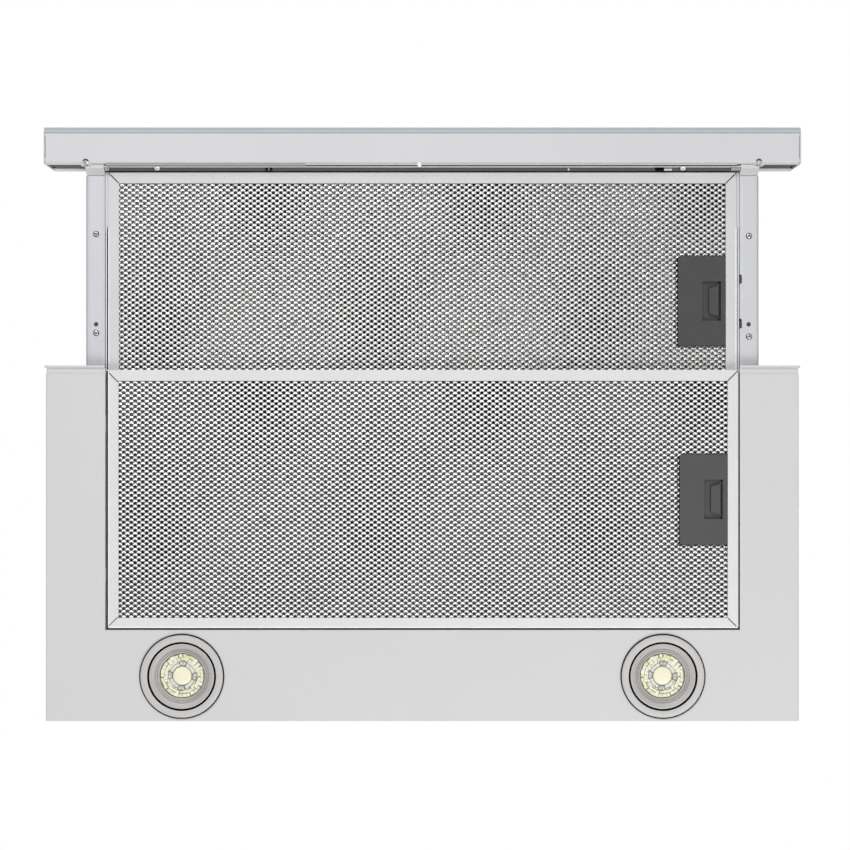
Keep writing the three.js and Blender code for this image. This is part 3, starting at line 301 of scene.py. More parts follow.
NODE_SLOTS = {
    "casing_paint": ("lower_shell", "cross_member", "carriage_cover", "rear_tie"),
    "bar_paint": ("front_bar", *both("bar_end_cap")),
    "zinc_sheet": ("seat_plate", "box_wrap", *both("box_end", "side_bracket")),
    "arm_steel": both("arm"),
    "frame_aluminium": ("rear_filter_frame", "front_filter_frame", "capacitor"),
    "mesh_aluminium": ("rear_filter_mesh", "front_filter_mesh"),
    "tinted_glass": ("front_glass",),
    "latch_plastic": ("rear_latch_housing", "rear_latch_slide", "front_latch_housing",
                      "front_latch_slide"),
    "black_plastic": ("position_switch", "outlet_collar", "terminal_box", "cable_gland",
                      "control_housing"),
    "white_nylon": (*both("front_glide", "rear_glide", "corner_piece", "draught_flap"),
                    "lamp_driver"),
    "lamp_metal": both("lamp_bezel", "lamp_body"),
    "lamp_lens": both("lamp_lens"),
    "chrome_plate": ("button_bezel", *(f"push_button_{k}" for k in range(1, 6))),
    "bare_steel": (*both("fixed_rail"), "motor_housing", "motor_shaft"),
    "blower_plastic": (*both("scroll", "impeller"), "outlet_plenum"),
}
# darker copies of the latch plastic and the nylon, as painted shade
LATCH_FRONT_SHADED = plastic("latch_front_shaded", (0.058, 0.058, 0.059))
CORNER_NYLON_SHADED = plastic("corner_nylon_shaded", (0.655, 0.655, 0.66), 0.45, 0.0012, 0.00001, 0.02)
SHADED_COPIES = {  # darker copies of their slot's finish, as painted shade
    "front_latch_housing": LATCH_FRONT_SHADED,
    "front_latch_slide": LATCH_FRONT_SHADED,
    "front_filter_frame": speckled("frame_front", (0.655, 0.655, 0.653), 0.1, 0.45),
    **dict.fromkeys(both("corner_piece"), CORNER_NYLON_SHADED),
}

for slot, members in NODE_SLOTS.items():
    for name in members:
        node = nodes[name]
        node.data.materials.clear()
        node.data.materials.append(SHADED_COPIES.get(name, FINISHES[slot]))


# ---------------------------------- mesh helpers

BLOCK_EDGE, FINE_EDGE = 0.1, 0.02  # mm
SMOOTH_BELOW = math.radians(35)  # of turned pieces


def shown(name, mesh, body, materials, replaces=()):
    """A new piece from a finished mesh, riding on a body."""
    piece = bpy.data.objects.new(name, mesh)
    bpy.context.scene.collection.objects.link(piece)
    for material in materials:
        mesh.materials.append(material)
    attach(piece, body)
    if replaces:
        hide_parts(*replaces)
    return piece


def from_bmesh(name, bm, body, materials, replaces=(), smooth=False):
    """A new piece from a bmesh, which is used up."""
    bmesh.ops.recalc_face_normals(bm, faces=bm.faces)
    mesh = bpy.data.meshes.new(name)
    bm.to_mesh(mesh)
    bm.free()
    piece = shown(name, mesh, body, materials, replaces)
    if smooth:
        mesh.shade_smooth()
        mesh.set_sharp_from_angle(angle=SMOOTH_BELOW)
    return piece


def prism(bm, lower, upper):
    """Two faces, and the walls between them."""
    bm.faces.new(lower[::-1])
    bm.faces.new(upper)
    for k in range(len(lower)):
        m = (k + 1) % len(lower)
        bm.faces.new((lower[k], lower[m], upper[m], upper[k]))


def block(name, body, slot, low, high, material=None, edge=BLOCK_EDGE):
    """A cuboid between two corners in millimetres, its edges rounded."""
    bm = bmesh.new()
    corners = [
        bm.verts.new((x * MM, y * MM, z * MM))
        for x in (low[0], high[0]) for y in (low[1], high[1]) for z in (low[2], high[2])
    ]
    loops = ((0, 1, 3, 2), (4, 6, 7, 5), (0, 4, 5, 1), (2, 3, 7, 6), (0, 2, 6, 4), (1, 5, 7, 3))
    for loop in loops:
        bm.faces.new([corners[k] for k in loop])
    bmesh.ops.bevel(bm, geom=bm.edges[:], offset=edge * MM, segments=2, profile=0.6,
                    affect="EDGES")
    from_bmesh(name, bm, body, [material or FINISHES[slot]])


def span(side, near, far):
    """The x range between two distances from the middle, on one side."""
    return sorted((side * near, side * far))


def basis(facing):
    """Three directions at right angles, the first of them the way something faces."""
    up = Vector(facing).normalized()
    side = up.orthogonal().normalized()
    return up, side, up.cross(side)


def bridge(bm, near, far, steps):
    """Faces between two rings, either of which may be a single point."""
    for k in range(steps):
        m = (k + 1) % steps
        loop = (near[k % len(near)], near[m % len(near)], far[m % len(far)], far[k % len(far)])
        corners = list(dict.fromkeys(loop))
        if len(corners) > 2:
            bm.faces.new(corners)


def turned(name, body, slot, profile, centre, facing=DOWN, steps=72, looped=False,
           material=None, replaces=()):
    """A profile of radii and heights in millimetres, turned about an axis through centre."""
    bm = bmesh.new()
    up, side, other = basis(facing)
    rings = []
    for radius, height in profile:
        count = steps if radius else 1
        ring = []
        for angle in (math.tau * k / count for k in range(count)):
            out = side * math.cos(angle) + other * math.sin(angle)
            ring.append(bm.verts.new((Vector(centre) + up * height + out * radius) * MM))
        rings.append(ring)
    for near, far in zip(rings, rings[1:]):
        bridge(bm, near, far, steps)
    if looped:
        bridge(bm, rings[-1], rings[0], steps)
    from_bmesh(name, bm, body, [material or FINISHES[slot]], replaces, smooth=True)


SCREW_STEPS = 40
SCREW_RINGS = (0, 0.12, 0.24, 0.38, 0.52, 0.6, 0.75, 0.9, 1)  # shares of the radius
RECESS_WIDTH, RECESS_LENGTH = 0.13, 0.56  # half of each bar of the cross, as shares too
SCREW_FOOT = -0.3  # mm, the level at which a head starts, in its seat


def screw(name, body, centre, facing, radius, height, material, turn=0.5):
    """A domed screw head with a cross recess."""
    steps = SCREW_STEPS
    bm = bmesh.new()
    up, side, other = basis(facing)

    def ring(share, rise=None):
        made = []
        for angle in (math.tau * k / steps for k in range(steps if share else 1)):
            u, v = abs(share * math.cos(angle - turn)), abs(share * math.sin(angle - turn))
            level = height * (1 - 0.4 * share * share) if rise is None else rise
            if min(u, v) < RECESS_WIDTH and max(u, v) < RECESS_LENGTH:
                level -= 0.5 * height
            out = side * math.cos(angle) + other * math.sin(angle)
            made.append(bm.verts.new((Vector(centre) + up * level + out * share * radius) * MM))
        return made

    rings = [ring(share) for share in SCREW_RINGS]
    rings.append(ring(1, SCREW_FOOT))
    for near, far in zip(rings, rings[1:]):
        bridge(bm, near, far, steps)
    bm.faces.new(rings[-1])
    from_bmesh(name, bm, body, [material], smooth=True)


SEAM_DEPTH = 0.3  # mm


def seam(name, body, slot, start, end, level, width, material):
    """A fine joint line between two points of a face that looks down."""
    start, end = Vector((*start, level)), Vector((*end, level))
    across = (end - start).cross(Vector(UP)).normalized() * (width / 2)
    corners = (start + across, end + across, end - across, start - across)
    bm = bmesh.new()
    low = [bm.verts.new(p * MM) for p in corners]
    high = [bm.verts.new((p + Vector(UP) * SEAM_DEPTH) * MM) for p in corners]
    prism(bm, low, high)
    from_bmesh(name, bm, body, [material])


# ---------------------------------- filter meshes

PITCH_X, PITCH_Y = 6.05 * MM, 4.28 * MM
STAGGER = (0, 1)  # half a pitch from one row of openings to the next, as on real mesh
# outline of a bond in quarters of the pitch: its tip at each side, crest, hollow and corners
BOND_TIP = (1.16, 0.36)
BOND_CREST, BOND_HOLLOW = 1.04, 0.14
BOND_UPPER, BOND_LOWER = (0.66, -0.66), (0.94, 0.66)
# outline of an opening in quarters of the pitch, each point with its depth in mm
OPENING = ((0.92, 0.10, 0.30), (0.82, 0.66, 0.50), (0.0, 0.90, 0.55), (-0.82, 0.66, 0.50),
           (-0.92, 0.10, 0.30), (-0.74, -0.94, 0.22), (0.0, -1.40, 0.20), (0.74, -0.94, 0.22))
# how deep the points of a bond lie, and how deep a strand and an opening's wall go, in mm
TIP_DEPTH, CREST_DEPTH, HOLLOW_DEPTH = 0.16, 0.30, 0.06
LOWER_DEPTH, UPPER_DEPTH = 0.12, 0.26
STRAND_DEPTH, WALL_DEPTH = 0.42, 0.65
LEAST_FACE = 1e-11  # square metres


def lattice(bounds, pitch, offset, bite):
    """The middles of the openings of an expanded mesh inside bounds, and outside the bite."""
    (x0, x1), (y0, y1) = bounds
    centres = []
    for stagger in STAGGER:
        columns = range(-2, int((x1 - x0) / pitch[0]) + 3)
        rows = range(-2, int((y1 - y0) / pitch[1]) + 3)
        for i in columns:
            for j in rows:
                x = x0 + offset[0] + (i + stagger / 2) * pitch[0]
                y = y0 + offset[1] + (j + stagger / 2) * pitch[1]
                inside = x0 - pitch[0] / 2 < x < x1 + pitch[0] / 2
                if not (inside and y0 - pitch[1] / 2 < y < y1 + pitch[1] / 2):
                    continue
                if bite[0][0] < x < bite[0][1] and bite[1][0] < y < bite[1][1]:
                    continue
                centres.append((4 * i + 2 * stagger, 4 * j + 2 * stagger))
    return centres


def expanded_mesh(name, which, body, bounds, bite, level, half):
    """Outer layer of expanded aluminium: bonds in a painted highlight, strands and the walls of
    its openings in painted shade.

    The half is -1 for the cells left of the middle and 1 for the others. Cells share their
    vertices, and the bite is the room of the latch, where there is no mesh.
    """
    rng = random.Random(7)
    (x0, x1), (y0, y1) = bounds
    (bx0, bx1), (by0, by1) = bite
    offset = (0.35 * PITCH_X, 0.2 * PITCH_Y)
    quarter = (PITCH_X / 4, PITCH_Y / 4)
    vertices, faces, kinds, known = [], [], [], {}

    def keep(x, y, depth):
        x, y = min(max(x, x0), x1), min(max(y, y0), y1)
        if bx0 < x < bx1 and by0 < y < by1:
            gaps = {x - bx0: (bx0, y), bx1 - x: (bx1, y), y - by0: (x, by0), by1 - y: (x, by1)}
            x, y = gaps[min(gaps)]
        vertices.append((x, y, level + depth * MM))
        return len(vertices) - 1

    def shared(key, shift, depth):
        """A vertex that neighbouring cells share."""
        if (key, shift) not in known:
            stray = rng.gauss(0, 0.05), rng.gauss(0, 0.07)
            x = x0 + offset[0] + (key[0] + shift[0] + stray[0]) * quarter[0]
            y = y0 + offset[1] + (key[1] + shift[1] + stray[1]) * quarter[1]
            known[key, shift] = keep(x, y, depth * rng.uniform(0.7, 1.3))
        return known[key, shift]

    def corner(bond, sx, sy):
        across, along = BOND_LOWER if sy > 0 else BOND_UPPER
        return shared(bond, (sx * across, along), LOWER_DEPTH if sy > 0 else UPPER_DEPTH)

    for ix, iy in lattice(bounds, (PITCH_X, PITCH_Y), offset, bite):
        cx = x0 + offset[0] + ix * quarter[0]
        cy = y0 + offset[1] + iy * quarter[1]
        if (cx < 0) != (half < 0):
            continue
        wide, high = rng.uniform(0.88, 1.08), rng.uniform(0.84, 1.08)
        right, rear, left, front = (ix + 2, iy), (ix, iy + 2), (ix - 2, iy), (ix, iy - 2)
        m_right, m_rear, m_left, m_front = (
            shared(bond, (0, 0), 0) for bond in (right, rear, left, front))
        tip_r = shared(right, (-BOND_TIP[0], BOND_TIP[1]), TIP_DEPTH)
        tip_l = shared(left, BOND_TIP, TIP_DEPTH)
        crest = shared(rear, (0, -BOND_CREST), CREST_DEPTH)
        hollow = shared(front, (0, BOND_HOLLOW), HOLLOW_DEPTH)
        r_rear, r_front = corner(right, -1, 1), corner(right, -1, -1)
        l_rear, l_front = corner(left, 1, 1), corner(left, 1, -1)
        b_right, b_left = corner(rear, 1, -1), corner(rear, -1, -1)
        f_right, f_left = corner(front, 1, 1), corner(front, -1, 1)
        s_rr, s_lr, s_lf, s_rf = (
            shared((ix + sx, iy + sy), (0, 0), STRAND_DEPTH)
            for sx, sy in ((1, 1), (-1, 1), (-1, -1), (1, -1)))
        rim, deep = [], []
        for u, v, depth in OPENING:
            dx, dy = u * wide * quarter[0], v * high * quarter[1]
            rim.append(keep(cx + dx, cy + dy, depth))
            deep.append(keep(cx + 0.97 * dx, cy + 0.95 * dy + 0.04 * MM, depth + WALL_DEPTH))
        # painted highlight on the bonds
        bright = [
            (m_right, r_rear, tip_r), (m_right, tip_r, r_front),
            (m_left, tip_l, l_rear), (m_left, l_front, tip_l),
            (m_rear, b_left, crest), (m_rear, crest, b_right),
            (m_front, f_right, hollow), (m_front, hollow, f_left),
        ]
        # painted shade on the strands round the opening
        grey = [
            (tip_r, r_rear, s_rr, rim[1]), (tip_r, rim[1], rim[0]),
            (s_rr, b_right, rim[1]), (b_right, crest, rim[2], rim[1]),
            (crest, b_left, rim[3], rim[2]), (b_left, s_lr, rim[3]),
            (s_lr, l_rear, tip_l, rim[3]), (tip_l, rim[4], rim[3]),
            (tip_l, l_front, s_lf, rim[5]), (tip_l, rim[5], rim[4]),
            (s_lf, f_left, rim[5]), (f_left, hollow, rim[6], rim[5]),
            (hollow, f_right, rim[7], rim[6]), (f_right, s_rf, rim[7]),
            (s_rf, r_front, tip_r, rim[7]), (tip_r, rim[0], rim[7]),
        ]
        # painted shade on the opening's walls, lighter on its rear half
        walls = [(rim[k], rim[(k + 1) % 8], deep[(k + 1) % 8], deep[k]) for k in range(8)]
        for kind, group in enumerate((bright, grey, walls[:4], walls[4:])):
            faces.extend(group)
            kinds.extend([kind] * len(group))
    mesh = bpy.data.meshes.new(name)
    mesh.from_pydata(vertices, [], faces)
    mesh.polygons.foreach_set("material_index", kinds)
    mesh.validate()
    mesh.update()
    bm = bmesh.new()
    bm.from_mesh(mesh)
    thin = [f for f in bm.faces if f.calc_area() < LEAST_FACE]
    bmesh.ops.delete(bm, geom=thin, context="FACES")
    bmesh.ops.recalc_face_normals(bm, faces=bm.faces)
    if sum(f.normal.z for f in bm.faces) > 0:
        bmesh.ops.reverse_faces(bm, faces=bm.faces)
    bm.to_mesh(mesh)
    bm.free()
    shown(name, mesh, body, MESH_PAINTED_LIGHT_METALS[which])


def mesh_painted_light(which, bond, strand, rear, front, inner):
    """Painted highlight and shade of one filter's mesh: bonds, strands, walls of its openings, and
    the inner layer.
    """
    parts = (("bond", bond, 0.35, 0.06), ("strand", strand, 0.45, 0.35),
             ("rear_wall_shade", rear, 0.5, 0.35), ("front_wall_shade", front, 0.6, 0.2),
             ("inner", inner, 0.5, 0.6))
    *outer, behind = [mesh_metal(f"{which}_mesh_{part}", (grey, grey, 0.99 * grey), rough, tone)
                      for part, grey, rough, tone in parts]
    return outer, behind


# lit and shaded copies of one aluminium, set for each filter
REAR_MESH_PAINTED_LIGHT = mesh_painted_light("rear", 0.93, 0.24, 0.11, 0.012, 0.12)
FRONT_MESH_PAINTED_LIGHT = mesh_painted_light("front", 0.70, 0.30, 0.24, 0.11, 0.25)
MESH_PAINTED_LIGHT_METALS = {"rear": REAR_MESH_PAINTED_LIGHT[0], "front": FRONT_MESH_PAINTED_LIGHT[0]}
INNER_SHADED_METALS = {"rear": REAR_MESH_PAINTED_LIGHT[1], "front": FRONT_MESH_PAINTED_LIGHT[1]}
# near black: painted shade deep inside the filter pack
CORE_PAINTED_SHADE = {"rear": enamel("rear_mesh_core", (0.012, 0.012, 0.012), 0.8),
               "front": enamel("front_mesh_core", (0.06, 0.06, 0.06), 0.8)}


INNER_GROWTH = (1.037, 1.021)  # of the inner layer's pitch over the outer one's
INNER_HOLE = (1.9 * MM, 1.25 * MM)  # half its width and length


def inner_mesh(name, body, bounds, bite, level, facing, metal):
    """Coarser layer, a little out of step with the outer one; facing 1 looks down, -1 up."""
    (x0, x1), (y0, y1) = bounds
    pitch = (PITCH_X * INNER_GROWTH[0], PITCH_Y * INNER_GROWTH[1])
    offset = (0.1 * PITCH_X, 0.55 * PITCH_Y)
    vertices, faces, known = [], [], {}

    def keep(x, y, depth):
        vertices.append((min(max(x, x0), x1), min(max(y, y0), y1), level + facing * depth))
        return len(vertices) - 1

    for ix, iy in lattice(bounds, pitch, offset, bite):
        cx = x0 + offset[0] + ix * pitch[0] / 4
        cy = y0 + offset[1] + iy * pitch[1] / 4
        ring = []
        for dx, dy in ((2, 0), (0, 2), (-2, 0), (0, -2)):
            key = (ix + dx, iy + dy)
            if key not in known:
                known[key] = keep(cx + dx * pitch[0] / 4, cy + dy * pitch[1] / 4, 0)
            ring.append(known[key])
        hole = [keep(cx + u * INNER_HOLE[0], cy + v * INNER_HOLE[1], d * MM)
                for u, v, d in ((1, 0, 0.2), (0, 1, 0.5), (-1, 0, 0.2), (0, -1, 0.1))]
        faces += [(ring[k], ring[(k + 1) % 4], hole[(k + 1) % 4], hole[k])[::-facing]
                  for k in range(4)]
    mesh = bpy.data.meshes.new(name)
    mesh.from_pydata(vertices, [], faces)
    mesh.validate()
    shown(name, mesh, body, [metal])


LATCH_MARGIN = 0.3 * MM  # between the mesh and the latch housing
INNER_LEVEL, CORE_LEVEL = 1.5 * MM, 3.2 * MM  # above a filter's underside


def filter_pack(which, body):
    """The layers of one filter: a fine one below, coarser ones behind it and on top, and
    between those a dark core of painted shade that leaves the latch its room."""
    low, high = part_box(f"{which}_filter_mesh")
    latch_low, latch_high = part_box(f"{which}_latch_housing")
    bounds = ((low.x, high.x), (low.y, high.y))
    bite = ((latch_low.x - LATCH_MARGIN, high.x + MM),
            (latch_low.y - LATCH_MARGIN, latch_high.y + LATCH_MARGIN))
    for name, side in SIDES:
        expanded_mesh(f"{which}_mesh_{name}", which, body, bounds, bite, low.z, side)
    # the inner layer's dark grey is painted shade
    inner_mesh(f"{which}_mesh_inner", body, bounds, bite, low.z + INNER_LEVEL, 1,
               INNER_SHADED_METALS[which])
    inner_mesh(f"{which}_mesh_upper", body, bounds, bite, high.z, -1,
               FINISHES["mesh_aluminium"])
    bm = bmesh.new()
    x0, x1, x2 = low.x + MM, latch_low.x - 2 * LATCH_MARGIN, high.x - MM
    y0, y1, y2, y3 = low.y + MM, latch_low.y - MM, latch_high.y + MM, high.y - MM
    outline = ((x0, y0), (x2, y0), (x2, y1), (x1, y1), (x1, y2), (x2, y2), (x2, y3), (x0, y3))
    lower = [bm.verts.new((x, y, low.z + CORE_LEVEL)) for x, y in outline]
    upper = [bm.verts.new((x, y, high.z - MM)) for x, y in outline]
    prism(bm, lower, upper)
    core = from_bmesh(f"{which}_mesh_core", bm, body, [CORE_PAINTED_SHADE[which]])
    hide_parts(f"{which}_filter_mesh")


filter_pack("rear", "rear_filter")
filter_pack("front", "front_filter")


# ---------------------------------- joints and strips

# blacks and greys of dark joints, and of painted shadow in gaps and round screw heads
JOINT_AND_SHADOW_BLACK = enamel("joint_and_shadow_black", (0.003, 0.003, 0.003), specular=0.05)
SOFT_JOINT = enamel("joint_soft", (0.16, 0.16, 0.16))
DARK_JOINT_AND_SHADOW = enamel("joint_and_shadow_dark", (0.05, 0.05, 0.05))
BAR_JOINT = enamel("bar_joint", (0.36, 0.36, 0.365), 0.6, 0.05)
# painted highlight on lit edges of the filter frames
EDGE_HIGHLIGHT = speckled("edge_highlight", (0.97, 0.97, 0.97), 0.0, 0.5)
# painted shade on the cross member's face behind the bar
STRIP_SHADE = enamel("strip_shade", (0.118, 0.119, 0.123), 0.6, 0.08)
# mid grey: painted shade in the bar's groove and the front filter's right gap, and a rivet's own
# grey
GAP_SHADE_AND_RIVET_GREY = enamel("gap_shade_and_rivet_grey", (0.40, 0.40, 0.41), 0.6, 0.05)
GUSSET_GREY = enamel("gusset_grey", (0.34, 0.34, 0.345), 0.6, 0.05)
# painted shade in the arms' bore and slots
SLOT_SHADE = enamel("slot_shade", (0.07, 0.07, 0.072))
BAR_SHADE = enamel("bar_shade", (0.075, 0.075, 0.076), mottle=0.08)
# pale paint on the sensor's tongue, and painted highlight on lit edges of the arms and the front
# filter
BRIGHT_PAINT_AND_HIGHLIGHT = paint("bright_paint_and_highlight", (0.80, 0.80, 0.815))
ARM_PALE = brushed("arm_pale", (0.62, 0.622, 0.645), 0.15, 0.42, ALONG_Y, 0.012, 0.00001)
GLASS_PRINT = enamel("glass_print", (0.63, 0.64, 0.65), 0.4, 0.02)
GLASS_JOINT = enamel("glass_joint", (0.37, 0.38, 0.39), 0.5, 0.02)
GLASS_BEAD = enamel("glass_bead", (0.48, 0.48, 0.49), 0.6, 0.03)
MITRE_START, MITRE_END = 0.7, 8.6  # mm from a frame's corner, along each side
MITRE_PROUD, MITRE_WIDTH = 0.12, 0.75


def mitres(which, body, shades):
    """The four mitre joints of a filter frame, each with its own finish."""
    low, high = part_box(f"{which}_filter_frame")
    corners = [(f"{end}_{name}", side * high.x / MM, y / MM, -side, inward)
               for end, y, inward in (("front", low.y, 1), ("rear", high.y, -1))
               for name, side in SIDES]
    for (place, x, y, sx, sy), shade in zip(corners, shades):
        near, far = ((x + sx * reach, y + sy * reach) for reach in (MITRE_START, MITRE_END))
        seam(f"{which}_mitre_{place}", body, "black_plastic", near, far,
             low.z / MM - MITRE_PROUD, MITRE_WIDTH, shade)


mitres("rear", "rear_filter", (DARK_JOINT_AND_SHADOW, DARK_JOINT_AND_SHADOW, SOFT_JOINT, DARK_JOINT_AND_SHADOW))
mitres("front", "front_filter", (JOINT_AND_SHADOW_BLACK, JOINT_AND_SHADOW_BLACK, DARK_JOINT_AND_SHADOW, DARK_JOINT_AND_SHADOW))

# body and slot of the strips
BAR, ARM, TRIM, STEEL, GLASS = (("carriage", slot) for slot in (
    "bar_paint", "arm_steel", "black_plastic", "bare_steel", "tinted_glass"))
REAR_FRAME, REAR_GAP = (("rear_filter", slot) for slot in ("frame_aluminium", "black_plastic"))
FRONT_FRAME, FRONT_GAP, WIRE = (
    ("front_filter", slot) for slot in ("frame_aluminium", "black_plastic", "bare_steel"))
LIP = ("casing", "casing_paint")
FACE, ARM_FACE = -45.0, -37.0  # levels in mm: underside of bar and casing, and of the arms
SLIT_FRONT, SLIT_MIDDLE, SLIT_REAR = -436.4, -393.0, -232.0  # beside the front filter

# two corners in mm, then the finish if it isn't the slot's own, and the edge
STRIPS = (
    # the rear filter's raised inner edge, its edges in painted highlight, painted shadow in the
    # gap round it, and the casing's turned lip
    ("rear_frame_inner_left", REAR_FRAME, (-243.4, -268.6, -44.62), (-241.0, -82.6, -43.6)),
    ("rear_frame_edge_left", REAR_FRAME, (-249.35, -277.0, -44.75), (-248.5, -74.2, -44.2),
     EDGE_HIGHLIGHT),
    ("rear_frame_edge_rear", REAR_FRAME, (-249.4, -74.95, -44.75), (250.1, -73.85, -44.2),
     EDGE_HIGHLIGHT),
    ("rear_gap_left", REAR_GAP, (-250.7, -277.6, -44.9), (-249.35, -73.2, -44.3),
     JOINT_AND_SHADOW_BLACK, FINE_EDGE),
    ("rear_gap_rear", REAR_GAP, (-250.3, -73.85, -44.72), (250.6, -72.75, -44.3), DARK_JOINT_AND_SHADOW),
    ("rear_gap_right", REAR_GAP, (250.6, -277.4, -44.72), (251.15, -73.2, -44.3), DARK_JOINT_AND_SHADOW),
    ("rear_lip_left", LIP, (-252.4, -279.8, -45.2), (-251.35, -72.3, -44.85)),
    ("rear_lip_rear", LIP, (-252.4, -72.25, -45.2), (252.4, -71.5, -44.85)),
    # along the bar's rear edge, with painted shadow and shade in its groove, and on the cross
    # member behind it, whose dark grey strip is painted shade
    ("bar_lip", BAR, (-92.5, -442.2, FACE), (249.5, -441.15, -44.3)),
    ("bar_lip_shadow", BAR, (-92.5, -441.2, -44.6), (249.5, -440.76, -44.0), JOINT_AND_SHADOW_BLACK,
     FINE_EDGE),
    ("bar_filler", BAR, (-251.4, -442.2, FACE), (-92.5, -440.75, -44.0), GAP_SHADE_AND_RIVET_GREY),
    ("rest_strip", BAR, (-249.2, -439.75, -39.6), (245.5, -437.2, -38.6), STRIP_SHADE),
    ("rest_rivet_seat", TRIM, (-124.9, -439.75, -40.3), (-119.5, -437.25, -39.5),
     JOINT_AND_SHADOW_BLACK, 0.35),
    ("sensor_block", TRIM, (185.4, -439.75, -40.6), (192.4, -437.2, -39.0), JOINT_AND_SHADOW_BLACK, 0.3),
    ("sensor_tongue", STEEL, (192.4, -438.9, -40.2), (198.6, -437.4, -39.5), BRIGHT_PAINT_AND_HIGHLIGHT),
    # the front filter's front edge in painted highlight, painted shade in its gaps, and a bent
    # strand of its mesh
    ("front_frame_edge_front", FRONT_FRAME, (-249.5, SLIT_FRONT, -36.8),
     (249.5, -434.6, -36.3), BRIGHT_PAINT_AND_HIGHLIGHT),
    ("front_gap_left", FRONT_GAP, (-251.5, SLIT_MIDDLE, -36.6), (-250.8, SLIT_REAR, -36.1),
     JOINT_AND_SHADOW_BLACK),
    ("front_gap_right", FRONT_GAP, (250.8, -434.5, -36.7), (251.5, SLIT_REAR, -36.1), GAP_SHADE_AND_RIVET_GREY),
    ("mesh_wire", WIRE, (196.4, -427.5, -32.9), (202.2, -383.0, -32.5), INNER_SHADED_METALS["rear"]),
    # the printed lower edge of the glass, its joint and bead, and the bar's front edge
    ("glass_print", GLASS, (-300.3, -468.15, FACE - 0.06), (300.3, -467.4, -44.6),
     GLASS_PRINT, FINE_EDGE),
    ("glass_joint", GLASS, (-300.3, -467.4, FACE - 0.04), (300.3, -466.6, -44.6),
     GLASS_JOINT, FINE_EDGE),
    ("glass_bead", BAR, (-299.6, -466.6, FACE), (299.6, -465.85, -44.0), GLASS_BEAD, FINE_EDGE),
    ("bar_front_edge", BAR, (-299.2, -465.85, FACE - 0.02), (299.2, -463.9, -44.0), None,
     FINE_EDGE),
)
# on both sides, with distances from the middle, then y and z of two corners
SIDE_STRIPS = (
    # the plate that closes the bar at the arm, and the shade beside it
    ("bar_tab", BAR, 262.6, 271.6, (-442.2, -44.9), (-441.5, -34)),
    ("bar_shade", BAR, 271.4, 296.8, (-444.2, -41.0), (-442.9, -17.2), BAR_SHADE),
    # the slit between the front filter and the arm, with painted highlight on the arm's rib and on
    # the frame's edge
    ("arm_filler", ARM, 251.05, 252.9, (SLIT_FRONT, ARM_FACE - 0.06),
     (SLIT_MIDDLE, ARM_FACE + 0.8), ARM_PALE, 0.04),
    ("arm_rib", ARM, 251.75, 252.45, (SLIT_MIDDLE, ARM_FACE - 0.2),
     (SLIT_REAR, ARM_FACE + 0.4), BRIGHT_PAINT_AND_HIGHLIGHT),
    ("front_frame_edge", FRONT_FRAME, 250.0, 250.8, (SLIT_MIDDLE, -36.75),
     (SLIT_REAR, -36.2), EDGE_HIGHLIGHT),
)

for name, where, low, high, *finish in STRIPS:
    block(name, *where, low, high, *finish)
for label, where, near, far, low, high, *finish in SIDE_STRIPS:
    for name, side in SIDES:
        x0, x1 = span(side, near, far)
        block(f"{label}_{name}", *where, (x0, *low), (x1, *high), *finish)


# ---------------------------------- fasteners

SCREW_STEEL = brushed("screw_steel", (0.80, 0.80, 0.81), 0.6, 0.3)
SCREW_GREY = brushed("screw_grey", (0.46, 0.46, 0.47), 0.6, 0.3)
BAR_TILT, REST_TILT = Vector((0, 0.5, -0.866)), Vector((0, 0.75, -0.661))
WASHER_RADIUS, WASHER_PROUD = 2.8, 0.15
FLANGE_FACE = 1.3  # mm, of the motor box on the seat plate
COLLAR_MIDDLE, COLLAR_FACE = -126, 132.4
COLLAR_SCREWS = 66.5  # radius of their circle


def seated_screw(name, number, place, facing, sink, radius, height, metals, turn=0.5):
    """A screw on a flat washer that is sunk into a leaning face; the washer's dark colour is
    painted shade round the head.
    """
    washer = [(0, -sink), (WASHER_RADIUS, -sink), (WASHER_RADIUS, WASHER_PROUD), (0, WASHER_PROUD)]
    turned(f"{name}_washer_{number}", *STEEL, washer, place, facing, material=metals[0])
    screw(f"{name}_screw_{number}", "carriage", place + facing * WASHER_PROUD, facing, radius,
          height, metals[1], turn)


for name, side in SIDES:
    x0, x1 = span(side, 249.2 if side < 0 else 245.5, 252.7)
    block(f"rest_gusset_{name}", *BAR, (x0, -440.4, -42.6), (x1, -437.2, -38.4), GUSSET_GREY, 0.3)
    seated_screw("bar", name, Vector((side * 267.0, -443.1, -44.3)), BAR_TILT, 0.8, 2.15, 1.2,
                 (DARK_JOINT_AND_SHADOW, SCREW_GREY), 0.4 * side)
    seam(f"bar_end_joint_{name}", *BAR, (side * 298.95, -463.8), (side * 298.95, -447.0),
         FACE - 0.06, 0.7, BAR_JOINT)
    # a dark disc of painted shade in the arm's bore
    turned(f"arm_bore_{name}", *ARM, [(0, 0), (1.45, 0), (1.45, -0.4), (0, -0.4)],
           (side * 260.3, -315.3, ARM_FACE + 0.4), steps=24, material=SLOT_SHADE)
for index, x in enumerate((-211.1, 207.3)):
    seated_screw("rest", index, Vector((x, -439.5, -40.6)), REST_TILT, 0.6, 2.2, 1.3,
                 (JOINT_AND_SHADOW_BLACK, SCREW_STEEL))
